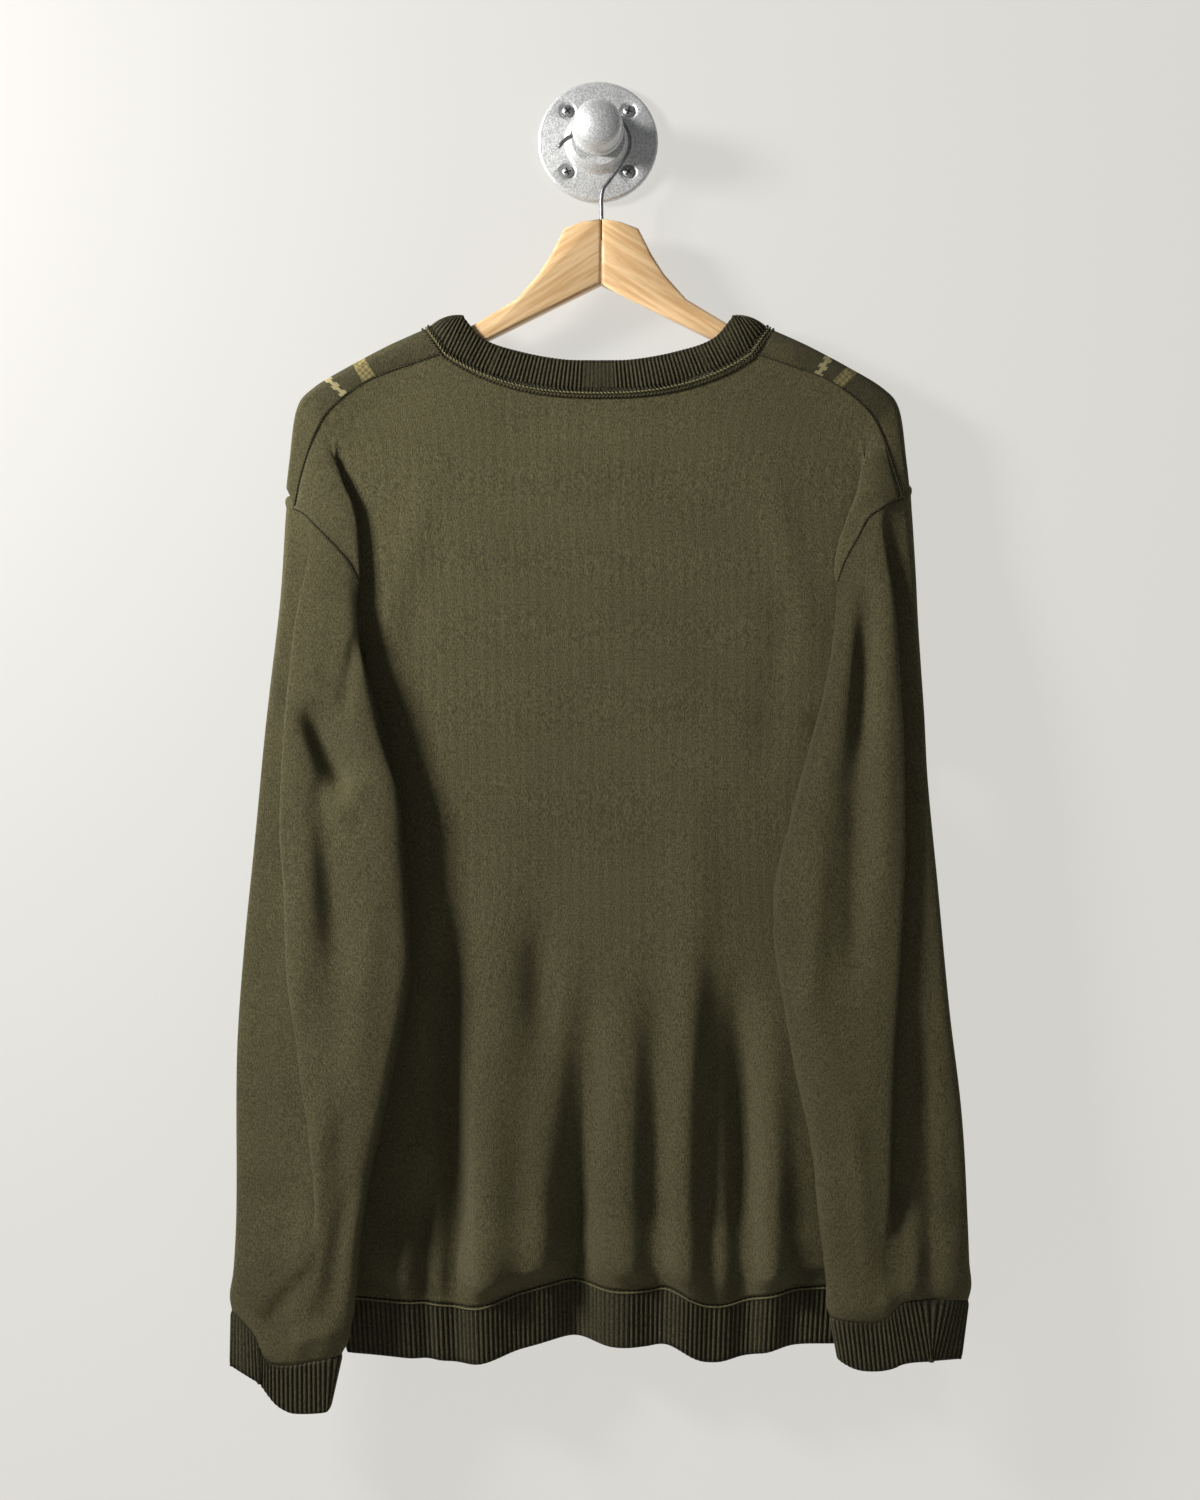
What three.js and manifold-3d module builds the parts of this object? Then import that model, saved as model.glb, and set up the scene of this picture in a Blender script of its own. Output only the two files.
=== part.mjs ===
// A worn wool sweater on a wooden hanger, hung from a wall hook of pipe fittings.
// Millimetres, +Z up. The wall is the plane y = 0 and the object stands in front of it, on the -Y side.
// The origin is the middle of the flange's back face. The sweater shows its back to the room.
// "depth" is the distance from the wall, so y = -depth. Widths are measured from the middle, x = 0.

import * as THREE from 'three';
import Module from 'manifold-3d';

const wasm = await Module();
wasm.setup();

// ---- Driving dimensions ------------------------------------------------------------------------

const JERSEY = 1.6; // thickness of the plain knit
const RIB = 1.8; // thickness of hem and cuffs
const COLLAR = 2.8; // thickness of the collar band
const SEAM_GAP = 0.3; // clear space between two pieces at a seam
const UNDERARM_GAP = 4; // and where four edges crowd together under the arm
const FIT_GAP = 0.3; // clear space between hard parts that touch

const NECK_BACK_Z = -189.7; // collar seam in the middle of the back
const UNDERARM_Z = -420;
const RIB_TOP_Z = -842;
const RIB_HEIGHT = 42;

const FLANGE = { radius: 44.5, plate: 6, hubRadius: 21, hubDepth: 16, floor: 4 };
const PIPE = { radius: 13.35, bore: 10.45 };
const CAP = { start: 33.3, bandEnd: 39, bandRadius: 18.7, bodyRadius: 17, shoulder: 55, end: 60 };
const SCREW = { offset: 22.5, headRadius: 4.5, shankRadius: 2.2 };
const HOOK = { radius: 1.5, depth: 27, centreX: 2, loop: 21.7, stemX: 2.6 };
const HANGER = { centreX: 2.5, depth: 27, thickness: 12, edge: 2.5 };

// ---- Materials ---------------------------------------------------------------------------------

const paint = (color, roughness, metalness) =>
  new THREE.MeshStandardMaterial({ color, roughness, metalness });
const WOOL = paint('#5a5640', 0.95, 0);
const WOOL_RIB = paint('#4c4935', 0.95, 0);
const WOOD = paint('#e2bd86', 0.55, 0);
const ZINC = paint('#b9bcbb', 0.45, 0.9);
const WIRE = paint('#8d8f8f', 0.3, 1);
const SCREW_STEEL = paint('#55575a', 0.4, 1);

// ---- Curves ------------------------------------------------------------------------------------

const mix = (a, b, t) => a + (b - a) * t;
const mixPoints = (a, b, t) => a.map((value, axis) => mix(value, b[axis], t));

function ease(from, to, value) {
  const t = Math.min(Math.max((value - from) / (to - from), 0), 1);
  return t * t * (3 - 2 * t);
}

// Smooth curve through [place, value] stations, flat beyond both ends.
function at(stations, place) {
  const rising = stations[0][0] < stations[stations.length - 1][0];
  const list = rising ? stations : [...stations].reverse();
  const last = list.length - 1;
  if (place <= list[0][0]) return list[0][1];
  if (place >= list[last][0]) return list[last][1];
  const i = list.findIndex((station) => station[0] > place) - 1;
  const slope = (k) => {
    const a = list[Math.max(k - 1, 0)];
    const b = list[Math.min(k + 1, last)];
    return (b[1] - a[1]) / (b[0] - a[0]);
  };
  const [x0, y0] = list[i];
  const [x1, y1] = list[i + 1];
  const step = x1 - x0;
  const t = (place - x0) / step;
  const start = (1 + 2 * t) * (1 - t) ** 2 * y0 + t * (1 - t) ** 2 * step * slope(i);
  const end = t * t * (3 - 2 * t) * y1 + t * t * (t - 1) * step * slope(i + 1);
  return start + end;
}

// A smooth line over its control points: counts[i] points on the stretch round control i.
function blend(controls, counts, ring) {
  const n = controls.length;
  const points = [];
  controls.forEach((control, i) => {
    const open = !ring && (i === 0 || i === n - 1);
    const a = !ring && i === 0 ? control : mixPoints(controls[(i + n - 1) % n], control, 0.5);
    const b = !ring && i === n - 1 ? control : mixPoints(control, controls[(i + 1) % n], 0.5);
    const middle = open ? mixPoints(a, b, 0.5) : control;
    for (let k = 0; k < counts[i]; k += 1) {
      const t = k / counts[i];
      points.push(mixPoints(mixPoints(a, middle, t), mixPoints(middle, b, t), t));
    }
  });
  if (!ring) points.push(controls[n - 1]);
  return points;
}

// ---- The cloth's sizes -------------------------------------------------------------------------
// Points are [distance from the middle, height, depth].

// Where the front panel, wrapped over the shoulder, is sewn to the back.
const SHOULDER_SEAM = [
  [110, -161.5, 37.5],
  [139, -171.5, 38.5],
  [168, -183, 39.5],
  [193, -202, 40],
  [205, -221, 40],
  [214.5, -250, 40.5],
];
// The edge of the shoulder that each of those points is folded over.
const SHOULDER_EDGE = [
  [124, -140.5],
  [149, -153.5],
  [180, -170],
  [207.5, -186.5],
  [219.5, -202],
  [224.5, -238],
];

const FACE = [[-275, 50], [-335, 58], [-420, 66], [-500, 70], [-600, 72], [-800, 72], [-880, 69]];
const WALL_SIDE = [[-275, 16], [-335, 24], [-420, 45], [-460, 50], [-700, 51], [-880, 54]];
const TUCK = [[-275, 2], [-335, 8], [-450, 14], [-600, 18], [-670, 18], [-725, 14], [-785, 5], [-812, 0]];
const RIDGE_INSET = [[-335, 12], [-600, 15], [-678, 19], [-750, 15], [-830, 15], [-885, 24]];

const SLEEVES = {
  left: {
    side: -1,
    outer: [[-275, 225], [-335, 229], [-420, 237], [-510, 245], [-592, 253], [-667, 258],
      [-785, 258.5], [-850, 262], [-893, 263]],
    pleat: [[-283, 211], [-326, 214], [-414, 222], [-455, 224.6], [-511, 226], [-545, 223],
      [-586, 220.6], [-655, 214], [-694, 209.6], [-724, 204], [-758, 199], [-812, 203], [-880, 226]],
    inner: [[-335, 170.5], [-360, 170], [-394, 164], [-428, 156], [-455, 146], [-470, 141],
      [-511, 139], [-545, 136], [-593, 131], [-627, 135], [-675, 145], [-710, 152], [-744, 160],
      [-798, 169], [-849, 173.6], [-880, 182], [-920, 191]],
    valley: [[-300, 190], [-373, 186], [-435, 194], [-464, 189], [-491, 195], [-538, 193],
      [-580, 188], [-607, 182], [-700, 180], [-800, 187], [-880, 206]],
    dip: [[-300, 0], [-420, 3], [-464, 9], [-495, 4], [-560, 3], [-607, 1], [-700, 0]],
    cuffTop: [[176, -880], [204, -885], [222, -887], [233, -882], [242, -868], [252, -855], [262, -850]],
    cuffEnd: [[186, -920], [204, -922], [221, -920.5], [231, -914], [238, -904], [246, -895],
      [262, -890]],
    armhole: [
      [226, -273, 38], [214, -278.5, 43], [211, -281, 45], [208.5, -283.5, 46.3], [206, -286, 47.3],
      [203, -289, 48], [195, -297, 49], [187, -306, 49.3], [178, -316, 48.8], [169.5, -338, 47],
      [187, -419, 42], [191, -421, 20], [203, -345, 14.5], [217, -287, 15], [227.5, -274, 24],
    ],
    crease: [[-224, 192], [-256, 183], [-273, 176], [-288, 173], [-309, 171.5], [-338, 170]],
  },
  right: {
    side: 1,
    outer: [[-266, 226], [-324, 230], [-366, 231.5], [-421, 234], [-470, 236], [-546, 243],
      [-636, 251.4], [-706, 259.7], [-768, 263.5], [-844, 265], [-889, 258]],
    pleat: [[-270, 209], [-312, 210.7], [-366, 213.4], [-442, 217.6], [-525, 218], [-593, 215],
      [-676, 210], [-724, 208.6], [-762, 208], [-812, 209], [-880, 222]],
    inner: [[-334, 170], [-374, 165], [-414, 160], [-442, 153], [-470, 146], [-504, 135],
      [-552, 124], [-572, 122], [-613, 130], [-668, 138], [-703, 146], [-737, 153], [-771, 156],
      [-805, 160], [-858, 166], [-889, 172]],
    valley: [[-300, 192], [-380, 191.6], [-428, 187.5], [-484, 184], [-552, 182], [-607, 181],
      [-700, 184], [-800, 189], [-880, 200]],
    dip: [[-300, 0], [-343, 2], [-428, 5], [-500, 6], [-560, 3], [-620, 0.5], [-700, 0]],
    cuffTop: [[168, -854], [197, -857], [206, -854], [215, -846.5], [225, -840], [262, -843]],
    cuffEnd: [[172, -885], [179, -890], [193, -892], [207.5, -891], [218, -886], [254, -885]],
    armhole: [
      [227, -264.5, 38], [213, -270, 43], [210, -271.5, 45], [207.5, -273, 46.3],
      [205, -275, 47.3], [202, -277, 48], [194, -282, 49], [187, -297, 49.3], [177.5, -313, 48.8],
      [169.5, -338, 47], [187, -419, 42], [191, -421, 20], [203, -345, 14.5], [217, -283, 15],
      [228.5, -265.5, 24],
    ],
    crease: [[-224, 193], [-260, 187.5], [-283, 179], [-309, 171.5], [-338, 170]],
  },
};

const BACK_DEPTH = [[-161, 37], [-276, 38], [-420, 40.5], [-600, 42], [-842, 41]];
const FRONT_DEPTH = [[-161, 14], [-420, 14], [-842, 17]];
const FLAP_STEP = [[-212, 0], [-236, 5], [-262, 8], [-338, 8]];
const OVERLAP = [[-224, 0], [-256, 6], [-275, 10], [-310, 16], [-338, 18]];
const SIDE = [[-420, 188], [-432, 179], [-470, 183], [-500, 189], [-600, 200], [-700, 199],
  [-800, 189], [-842, 184]];
const SIDE_SEAM_DEPTH = 28;

// Folds of the body: [path of x by height], [depth by height], half width. Depth is towards the room.
const BACK_FOLDS = [
  { x: [[-578, -108], [-650, -111], [-771, -104]], rise: [[-555, 0], [-650, -6], [-830, -9]], width: 12 },
  { x: [[-770, -125]], rise: [[-745, 0], [-800, -6], [-836, -6]], width: 8 },
  { x: [[-600, -77]], rise: [[-560, 0], [-700, 3], [-830, 5]], width: 16 },
  { x: [[-569, -41]], rise: [[-560, 0], [-620, -3], [-690, 0], [-790, 3]], width: 13 },
  { x: [[-619, -6], [-771, -14]], rise: [[-595, 0], [-700, -5], [-825, -8]], width: 13 },
  { x: [[-600, 20]], rise: [[-590, 0], [-720, 3], [-830, 5]], width: 14 },
  { x: [[-631, 42]], rise: [[-610, 0], [-700, -3], [-800, -4]], width: 12 },
  { x: [[-600, 63]], rise: [[-600, 0], [-720, 3], [-830, 6]], width: 13 },
  { x: [[-596, 83], [-822, 79]], rise: [[-580, 0], [-680, -3], [-822, -4]], width: 10 },
  { x: [[-631, 100], [-744, 106]], rise: [[-600, 0], [-680, -7], [-744, -8], [-820, -6]], width: 13 },
  { x: [[-640, 125]], rise: [[-620, 0], [-750, 4], [-830, 6]], width: 13 },
];
const FRONT_FOLDS = [
  { x: [[-600, -95]], rise: [[-560, 0], [-700, 2], [-830, 4]], width: 22 },
  { x: [[-600, -50]], rise: [[-540, 0], [-700, -2], [-830, -3]], width: 20 },
  { x: [[-600, 8]], rise: [[-580, 0], [-700, 2], [-830, 3]], width: 22 },
  { x: [[-600, 60]], rise: [[-560, 0], [-700, -2], [-830, -3]], width: 20 },
  { x: [[-600, 112]], rise: [[-560, 0], [-700, 2], [-830, 4]], width: 22 },
];
// How far the bottom edge swings down (and out) or up (and in), by x.
const HEM_WAVE = [[-182, -3], [-130, -8], [-90, -12], [-55, 2], [-20, 11], [10, 3], [35, 3], [52, 5],
  [80, -11], [120, -2], [145, 5], [182, 7]];

// ---- Cloth surfaces ----------------------------------------------------------------------------

const { left: LEFT, right: RIGHT } = SLEEVES;
const RING_COUNTS = [1, 1, 1, 1, 1, 1, 2, 1, 2, 2, 2, 2, 2, 1, 1];
const START = RING_COUNTS.map((_, i) => RING_COUNTS.slice(0, i).reduce((sum, n) => sum + n, 0));
const TEE = START[1]; // ring point where the shoulder seam meets the armhole
const UNDERARM = START[11]; // ring point where the side seam meets the armhole
const HALF_COUNTS = [2, 3, 2, 2, 1, 1, 1, 1, 1, 1, 1];
const FRONT_COUNTS = [2, 2, 2, 2, 2, 1, 1, 1];
const SHOULDER_ROWS = 5;
const SIDE_ROWS = 9;
const SLEEVE_ROWS = 12;

// The sleeve's flattened section: across the strip, under and over the pleat, the flap, and back.
function sleeveSection(sleeve, z) {
  const keys = ['outer', 'pleat', 'inner', 'valley'];
  const [outer, pleat, inner, valley] = keys.map((key) => at(sleeve[key], z));
  const tuck = at(TUCK, z);
  const face = at(FACE, z);
  const wall = at(WALL_SIDE, z);
  const folded = Math.min(tuck / 8, 1);
  const ridge = outer - at(RIDGE_INSET, z);
  return [
    [outer, face - 10],
    [ridge, mix(face - 2.5, face - 8.5, folded)],
    [mix(pleat + 16, pleat - tuck, folded), mix(face - 1.5, face - 8.5, folded)],
    [mix(pleat + 8, pleat - tuck, folded), mix(face - 0.5, face - 5, folded)],
    [mix(pleat + 2, pleat, folded), mix(face, face - 4, folded)],
    [mix(pleat - 6, pleat, folded), face + 0.5],
    [mix(pleat, valley, 0.5), face + 1],
    [valley, face - at(sleeve.dip, z)],
    [mix(valley, inner, 0.55), face + 0.5],
    [inner, face - 4],
    [inner, wall + 3],
    [inner + 22, wall],
    [mix(inner, outer, 0.55), wall],
    [outer - 16, wall],
    [outer, wall + 3],
  ];
}

// One row of the sleeve, from 0 at the armhole to 1 at the cuff.
function sleeveRow(sleeve, share) {
  const controls = sleeve.armhole.map(([topX, topZ, topDepth], k) => {
    const cuffZ = at(sleeve.cuffTop, sleeveSection(sleeve, -865)[k][0]);
    const z = mix(topZ, cuffZ, share);
    const [x, depth] = sleeveSection(sleeve, z)[k];
    const [startX, startDepth] = sleeveSection(sleeve, topZ)[k];
    const crotch = k === 10 || k === 11;
    const pull = 1 - ease(crotch ? 14 : 0, crotch ? 64 : 85, topZ - z);
    const pullOut = 1 - ease(0, crotch ? 12 : 85, topZ - z);
    return [x + (topX - startX) * pull, z, depth + (topDepth - startDepth) * pullOut];
  });
  return blend(controls, RING_COUNTS, true);
}

function cuffRow(sleeve) {
  const controls = sleeveSection(sleeve, -880).map(([x, depth]) => {
    const z = at(sleeve.cuffEnd, x);
    const inside = at(sleeve.inner, z);
    return [Math.max(x, inside), z, mix(depth, 62, 0.18)];
  });
  return blend(controls, RING_COUNTS, true);
}

// Where the rows of the back and front end: down the shoulder seam, round the armhole, down the side.
function rowEnds(sleeve, seamPoints) {
  const ring = sleeveRow(sleeve, 0);
  const seam = [...SHOULDER_SEAM, ring[TEE]];
  const shoulder = Array.from({ length: SHOULDER_ROWS }, (_, row) => {
    const place = (row / SHOULDER_ROWS) * (seam.length - 1);
    return [0, 1, 2].map((axis) => at(seam.map((point, i) => [i, point[axis]]), place));
  });
  const armhole = seamPoints.map((index) => ring[index]);
  const side = Array.from({ length: SIDE_ROWS }, (_, row) => {
    const z = mix(UNDERARM_Z, RIB_TOP_Z, (row + 1) / SIDE_ROWS);
    return [at(SIDE, z), z, SIDE_SEAM_DEPTH];
  });
  return [...shoulder, ...armhole, ...side];
}

const range = (from, to) => Array.from({ length: to - from + 1 }, (_, i) => from + i);
const BACK_POINTS = range(TEE, UNDERARM);
const RING_SIZE = RING_COUNTS.reduce((sum, n) => sum + n, 0);
const ROW_LIFT = 2.6; // how late a back row turns up towards its seam
const FRONT_POINTS = [...range(0, TEE).reverse(), ...range(UNDERARM, RING_SIZE - 1).reverse()];

// Half a row of the back: flat plane, tuck under the flap, flap, and the seam.
function backHalf(sleeve, end, middleZ) {
  const [endX, endZ, endDepth] = end;
  const plane = at(BACK_DEPTH, endZ);
  const crease = endZ > -224 ? endX - 13 : at(sleeve.crease, endZ);
  const under = crease + at(OVERLAP, endZ);
  const step = at(FLAP_STEP, endZ);
  const folded = ease(-212, -248, endZ);
  const wrapped = ease(-322, -350, endZ);
  const edge = endZ > UNDERARM_Z ? 189 : endX + 0.5;
  const flap = [[crease - 4, plane], [under, plane - 0.3], [under, plane + 3.7], [crease, plane + step - 4],
    [crease, plane + step], [mix(crease, endX, 0.5), plane + step + 0.5]];
  const slack = 8 * ease(-400, -430, endZ) * (1 - ease(-440, -480, endZ));
  const corner = [edge, mix(plane, endDepth, 0.42)];
  const wrap = [[edge - 22, plane], [edge, plane - 0.5 - slack], corner,
    ...[0.25, 0.5, 0.75].map((t) => mixPoints(corner, [endX, endDepth], t))];
  const outer = flap.map((point, i) => {
    const smooth = [mix(crease - 10, endX, i / 6), mix(plane, endDepth, i / 6)];
    return mixPoints(mixPoints(smooth, point, folded), wrap[i], wrapped);
  });
  const plain = [0, 0.28, 0.55, 0.8].map((t) => [outer[0][0] * t, plane]);
  return [...plain, ...outer, [endX, endDepth]].map(([x, depth]) => {
    const share = Math.min(x / endX, 1);
    return [x * sleeve.side, middleZ + (endZ - middleZ) * share ** ROW_LIFT, depth];
  });
}

// How the front's rows end, as [x, z] from the seam point and a depth, from the fold to the flat.
const FRONT_WRAP = [
  { at: 41, ends: [[-13, 13, 14], [6, 13, 18], [7, 11, 34], [4, 6, 39]] },
  { at: 31, ends: [[-22, 5, 14], [-7, 6, 15.5], [0.5, 6, 20], [1.5, 4, 27]] },
  { at: 20, ends: [[-27, 2, 14], [-14, 3, 14.3], [-8, 3, 15], [-3, 2, 16.5]] },
  { at: 14.6, ends: [[-34, 0, 14], [-20, 0, 14], [-12, 0, 14.2], [-6, 0, 14.4]] },
];
const WRAP_SIDE = [[-28, 0, 14], [-14, 0, 14.5], [-4, 0, 17], [-0.5, 0, 22]];

function frontWrap(end, row) {
  if (row < SHOULDER_ROWS) {
    const place = (row / SHOULDER_ROWS) * SHOULDER_SEAM.length;
    const edge = [...SHOULDER_EDGE, [227, -262]];
    const [x, z] = [0, 1].map((axis) => at(edge.map((point, i) => [i, point[axis]]), place));
    return [
      [mix(x, end[0], 0.9), mix(z, end[1], 1.1), 14],
      [x, z, 17],
      [x, z, 36.5],
      [mix(x, end[0], 0.5), mix(z, end[1], 0.5), 39],
    ];
  }
  const below = ease(-330, UNDERARM_Z, end[1]);
  const stations = range(0, 3).map((k) => [0, 1, 2].map((axis) =>
    at(FRONT_WRAP.map((entry) => [entry.at, entry.ends[k][axis]]), end[2])));
  return stations.map((offset, k) => {
    const [dx, dz, depth] = mixPoints(offset, WRAP_SIDE[k], below);
    return [end[0] + dx, end[1] + dz, depth];
  });
}

function frontHalf(sleeve, end, row, middleZ) {
  const depth = at(FRONT_DEPTH, end[1]);
  const outer = row === 0
    ? [[113, -175, 14.5], [121, -150, 15.5], [124.5, -140.5, 29], [119, -148, 36]]
    : frontWrap(end, row);
  const flat = [0, 0.4, 0.76].map((t) => {
    const z = middleZ + (outer[0][1] - middleZ) * t ** 2.2;
    return [outer[0][0] * t, z, depth];
  });
  return [...flat, ...outer, end].map(([x, z, p]) => [x * sleeve.side, z, p]);
}

function foldDepth(folds, x, z) {
  return folds.reduce((sum, fold) => {
    const away = (x - at(fold.x, z)) / fold.width;
    return sum + at(fold.rise, z) * Math.exp(-away * away);
  }, 0);
}

// Folds, the blousing over the rib and the swing of the bottom edge.
function dress([x, z, depth], folds, towardsRoom) {
  const middle = 1 - ease(135, 175, Math.abs(x));
  const aboveRib = 1 - ease(-826, RIB_TOP_Z, z);
  const blouse = 5 * ease(-780, -822, z) * aboveRib * middle;
  const swing = at(HEM_WAVE, x) * ease(-740, RIB_TOP_Z, z);
  const fold = foldDepth(folds, x, z) * mix(0.45, 1, aboveRib) * middle;
  const out = towardsRoom * (fold + blouse) - 0.55 * swing * middle;
  return [x, z + 0.7 * swing, depth + out];
}

function fullRow(leftHalf, rightHalf, counts) {
  const controls = [...leftHalf.slice(1).reverse(), ...rightHalf];
  const all = [...counts.slice(1).reverse(), ...counts];
  return blend(controls, all, false);
}

function backRows() {
  const ends = [LEFT, RIGHT].map((sleeve) => rowEnds(sleeve, BACK_POINTS));
  return ends[0].map((leftEnd, row) => {
    const rightEnd = ends[1][row];
    const share = Math.min(row / SHOULDER_ROWS, 1);
    const level = (leftEnd[1] + rightEnd[1]) / 2;
    const middleZ = share < 1 ? mix(NECK_BACK_Z, -271, share ** 1.2) : level;
    const halves = [backHalf(LEFT, leftEnd, middleZ), backHalf(RIGHT, rightEnd, middleZ)];
    return fullRow(...halves, HALF_COUNTS).map((point) => dress(point, BACK_FOLDS, 1));
  });
}

// The front's columns run the other way, left to right as seen from the wall.
function frontRows() {
  const ends = [LEFT, RIGHT].map((sleeve) => rowEnds(sleeve, FRONT_POINTS));
  return ends[0].map((leftEnd, row) => {
    const rightEnd = ends[1][row];
    const share = Math.min(row / (SHOULDER_ROWS + FRONT_POINTS.length - 1), 1);
    const level = (leftEnd[1] + rightEnd[1]) / 2;
    const middleZ = share < 1 ? mix(-238, UNDERARM_Z, share) : level;
    const halves = [frontHalf(LEFT, leftEnd, row, middleZ), frontHalf(RIGHT, rightEnd, row, middleZ)];
    return fullRow(...halves, FRONT_COUNTS).map((point) => dress(point, FRONT_FOLDS, -1)).reverse();
  });
}

// The rib below a panel: from the panel's last row straight down.
function hemRows(panel) {
  const top = panel[panel.length - 1];
  const bottom = top.map(([x, z, depth]) => [x * 0.985, z - RIB_HEIGHT, mix(depth, SIDE_SEAM_DEPTH, 0.03)]);
  return [top, top.map((point, i) => mixPoints(point, bottom[i], 0.5)), bottom];
}

const NECK_TOP_BACK = [[0, -167.2], [25, -166.5], [57, -160.7], [84, -151], [98, -135.2]];
const NECK_TOP_FRONT = [[0, -214], [36, -209], [68, -192], [90, -163], [98, -139], [101, -131]];

// The collar stands up from the neck seam to a smaller opening.
function collarRows(back, front) {
  const seam = [...back[0].slice(0, -1), ...front[0].slice(0, -1)];
  const top = seam.map(([x, z, depth]) => {
    const away = Math.abs(x);
    const over = ease(20, 36, depth);
    const backX = away * 0.891;
    const frontX = Math.min(away * 0.815, 101);
    const backPoint = [backX, at(NECK_TOP_BACK, backX)];
    const frontPoint = [frontX, z > -150 ? -131 : at(NECK_TOP_FRONT, frontX)];
    const [topX, topZ] = mixPoints(frontPoint, backPoint, over);
    return [Math.sign(x) * topX, Math.min(topZ, -130.5), mix(depth, 27, 0.05)];
  });
  return [top, seam.map((point, i) => mixPoints(top[i], point, 0.5)), seam];
}

// ---- From surfaces to solids -------------------------------------------------------------------

const placed = ([x, z, depth]) => new THREE.Vector3(x, -depth, z);

// A surface's outward directions: rows run down and columns left to right, seen from outside.
function outwardOf(grid, ring) {
  const rows = grid.length;
  const columns = grid[0].length;
  return grid.map((line, r) => line.map((_, c) => {
    const before = ring ? (c + columns - 1) % columns : Math.max(c - 1, 0);
    const after = ring ? (c + 1) % columns : Math.min(c + 1, columns - 1);
    const across = line[after].clone().sub(line[before]);
    const down = grid[Math.min(r + 1, rows - 1)][c].clone().sub(grid[Math.max(r - 1, 0)][c]);
    return down.cross(across).normalize();
  }));
}

const seamKey = (point) => point.toArray().map((value) => value.toFixed(2)).join(' ');

function makeSheets(definitions) {
  const shared = new Map();
  const sheets = definitions.map(({ name, rows, ring, thickness, material }) => {
    const grid = rows.map((row) => row.map(placed));
    const outward = outwardOf(grid, ring);
    return { name, grid, outward, ring, thickness, material };
  });
  sheets.forEach(({ grid, outward }) => grid.forEach((line, r) => line.forEach((point, c) => {
    const sum = shared.get(seamKey(point)) ?? new THREE.Vector3();
    shared.set(seamKey(point), sum.add(outward[r][c]));
  })));
  sheets.forEach((sheet) => {
    const outwardAt = (point) => shared.get(seamKey(point)).clone().normalize();
    sheet.outward = sheet.grid.map((line) => line.map(outwardAt));
  });
  return sheets;
}

// Draws the edge rows and columns back by half the seam gap.
function trimmed(grid, ring) {
  const rows = grid.length;
  const columns = grid[0].length;
  return grid.map((line, r) => line.map((point, c) => {
    const moved = point.clone();
    const away = Math.hypot(Math.abs(point.x) - 188, point.z - UNDERARM_Z);
    const crowd = Math.min(1, 1 - ease(16, 46, away) + 0.2 * (1 - ease(90, 106, away)));
    const gap = mix(SEAM_GAP, UNDERARM_GAP, crowd);
    const draw = (inner) => moved.add(inner.clone().sub(point).setLength(gap / 2));
    if (r === 0) draw(grid[1][c]);
    if (r === rows - 1) draw(grid[rows - 2][c]);
    if (!ring && c === 0) draw(line[1]);
    if (!ring && c === columns - 1) draw(line[columns - 2]);
    return moved;
  }));
}

function shellGeometry({ grid, outward, ring, thickness }) {
  const outside = trimmed(grid, ring);
  const rows = grid.length;
  const columns = grid[0].length;
  const inside = outside.map((line, r) => line.map((point, c) =>
    point.clone().addScaledVector(outward[r][c], -thickness)));
  const positions = [outside, inside].flat(2).flatMap((point) => point.toArray());
  const triangles = [];
  const index = (layer, r, c) => (layer * rows + r) * columns + (c % columns);
  const place = (i) => new THREE.Vector3(...positions.slice(3 * i, 3 * i + 3));
  const quad = (a, b, c, d) => {
    const straight = place(a).distanceTo(place(c)) <= place(b).distanceTo(place(d));
    triangles.push(...(straight ? [a, b, c, a, c, d] : [a, b, d, b, c, d]));
  };
  const spans = ring ? columns : columns - 1;
  for (let c = 0; c < spans; c += 1) {
    for (let r = 0; r < rows - 1; r += 1) {
      quad(index(0, r, c), index(0, r + 1, c), index(0, r + 1, c + 1), index(0, r, c + 1));
      quad(index(1, r, c), index(1, r, c + 1), index(1, r + 1, c + 1), index(1, r + 1, c));
    }
    const end = rows - 1;
    quad(index(0, 0, c), index(0, 0, c + 1), index(1, 0, c + 1), index(1, 0, c));
    quad(index(0, end, c + 1), index(0, end, c), index(1, end, c), index(1, end, c + 1));
  }
  for (let r = 0; !ring && r < rows - 1; r += 1) {
    const end = columns - 1;
    quad(index(0, r + 1, 0), index(0, r, 0), index(1, r, 0), index(1, r + 1, 0));
    quad(index(0, r, end), index(0, r + 1, end), index(1, r + 1, end), index(1, r, end));
  }
  const geometry = new THREE.BufferGeometry();
  geometry.setAttribute('position', new THREE.Float32BufferAttribute(positions, 3));
  geometry.setIndex(triangles);
  return geometry;
}

// ---- Hard parts --------------------------------------------------------------------------------

// A mesh as a solid: shared corners are found by place, and flat slivers are dropped.
function toSolid(source) {
  const flat = source.index ? source.toNonIndexed() : source;
  const places = flat.getAttribute('position');
  const known = new Map();
  const vertices = [];
  const corners = range(0, places.count - 1).map((i) => {
    const point = [places.getX(i), places.getY(i), places.getZ(i)];
    const key = point.map((value) => (Math.round(value * 1e4) + 0) / 1e4).join(' ');
    if (!known.has(key)) {
      known.set(key, vertices.length / 3);
      vertices.push(...point);
    }
    return known.get(key);
  });
  const triangles = [];
  for (let i = 0; i < corners.length; i += 3) {
    const [a, b, c] = corners.slice(i, i + 3);
    if (a !== b && b !== c && c !== a) triangles.push(a, b, c);
  }
  const build = (list) => new wasm.Manifold(new wasm.Mesh({
    numProp: 3,
    vertProperties: new Float32Array(vertices),
    triVerts: new Uint32Array(list),
  }));
  const solid = build(triangles);
  if (solid.volume() > 0) return solid;
  const turned = triangles.map((_, i) => triangles[i - (i % 3) + 2 - (i % 3)]);
  return build(turned);
}

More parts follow.
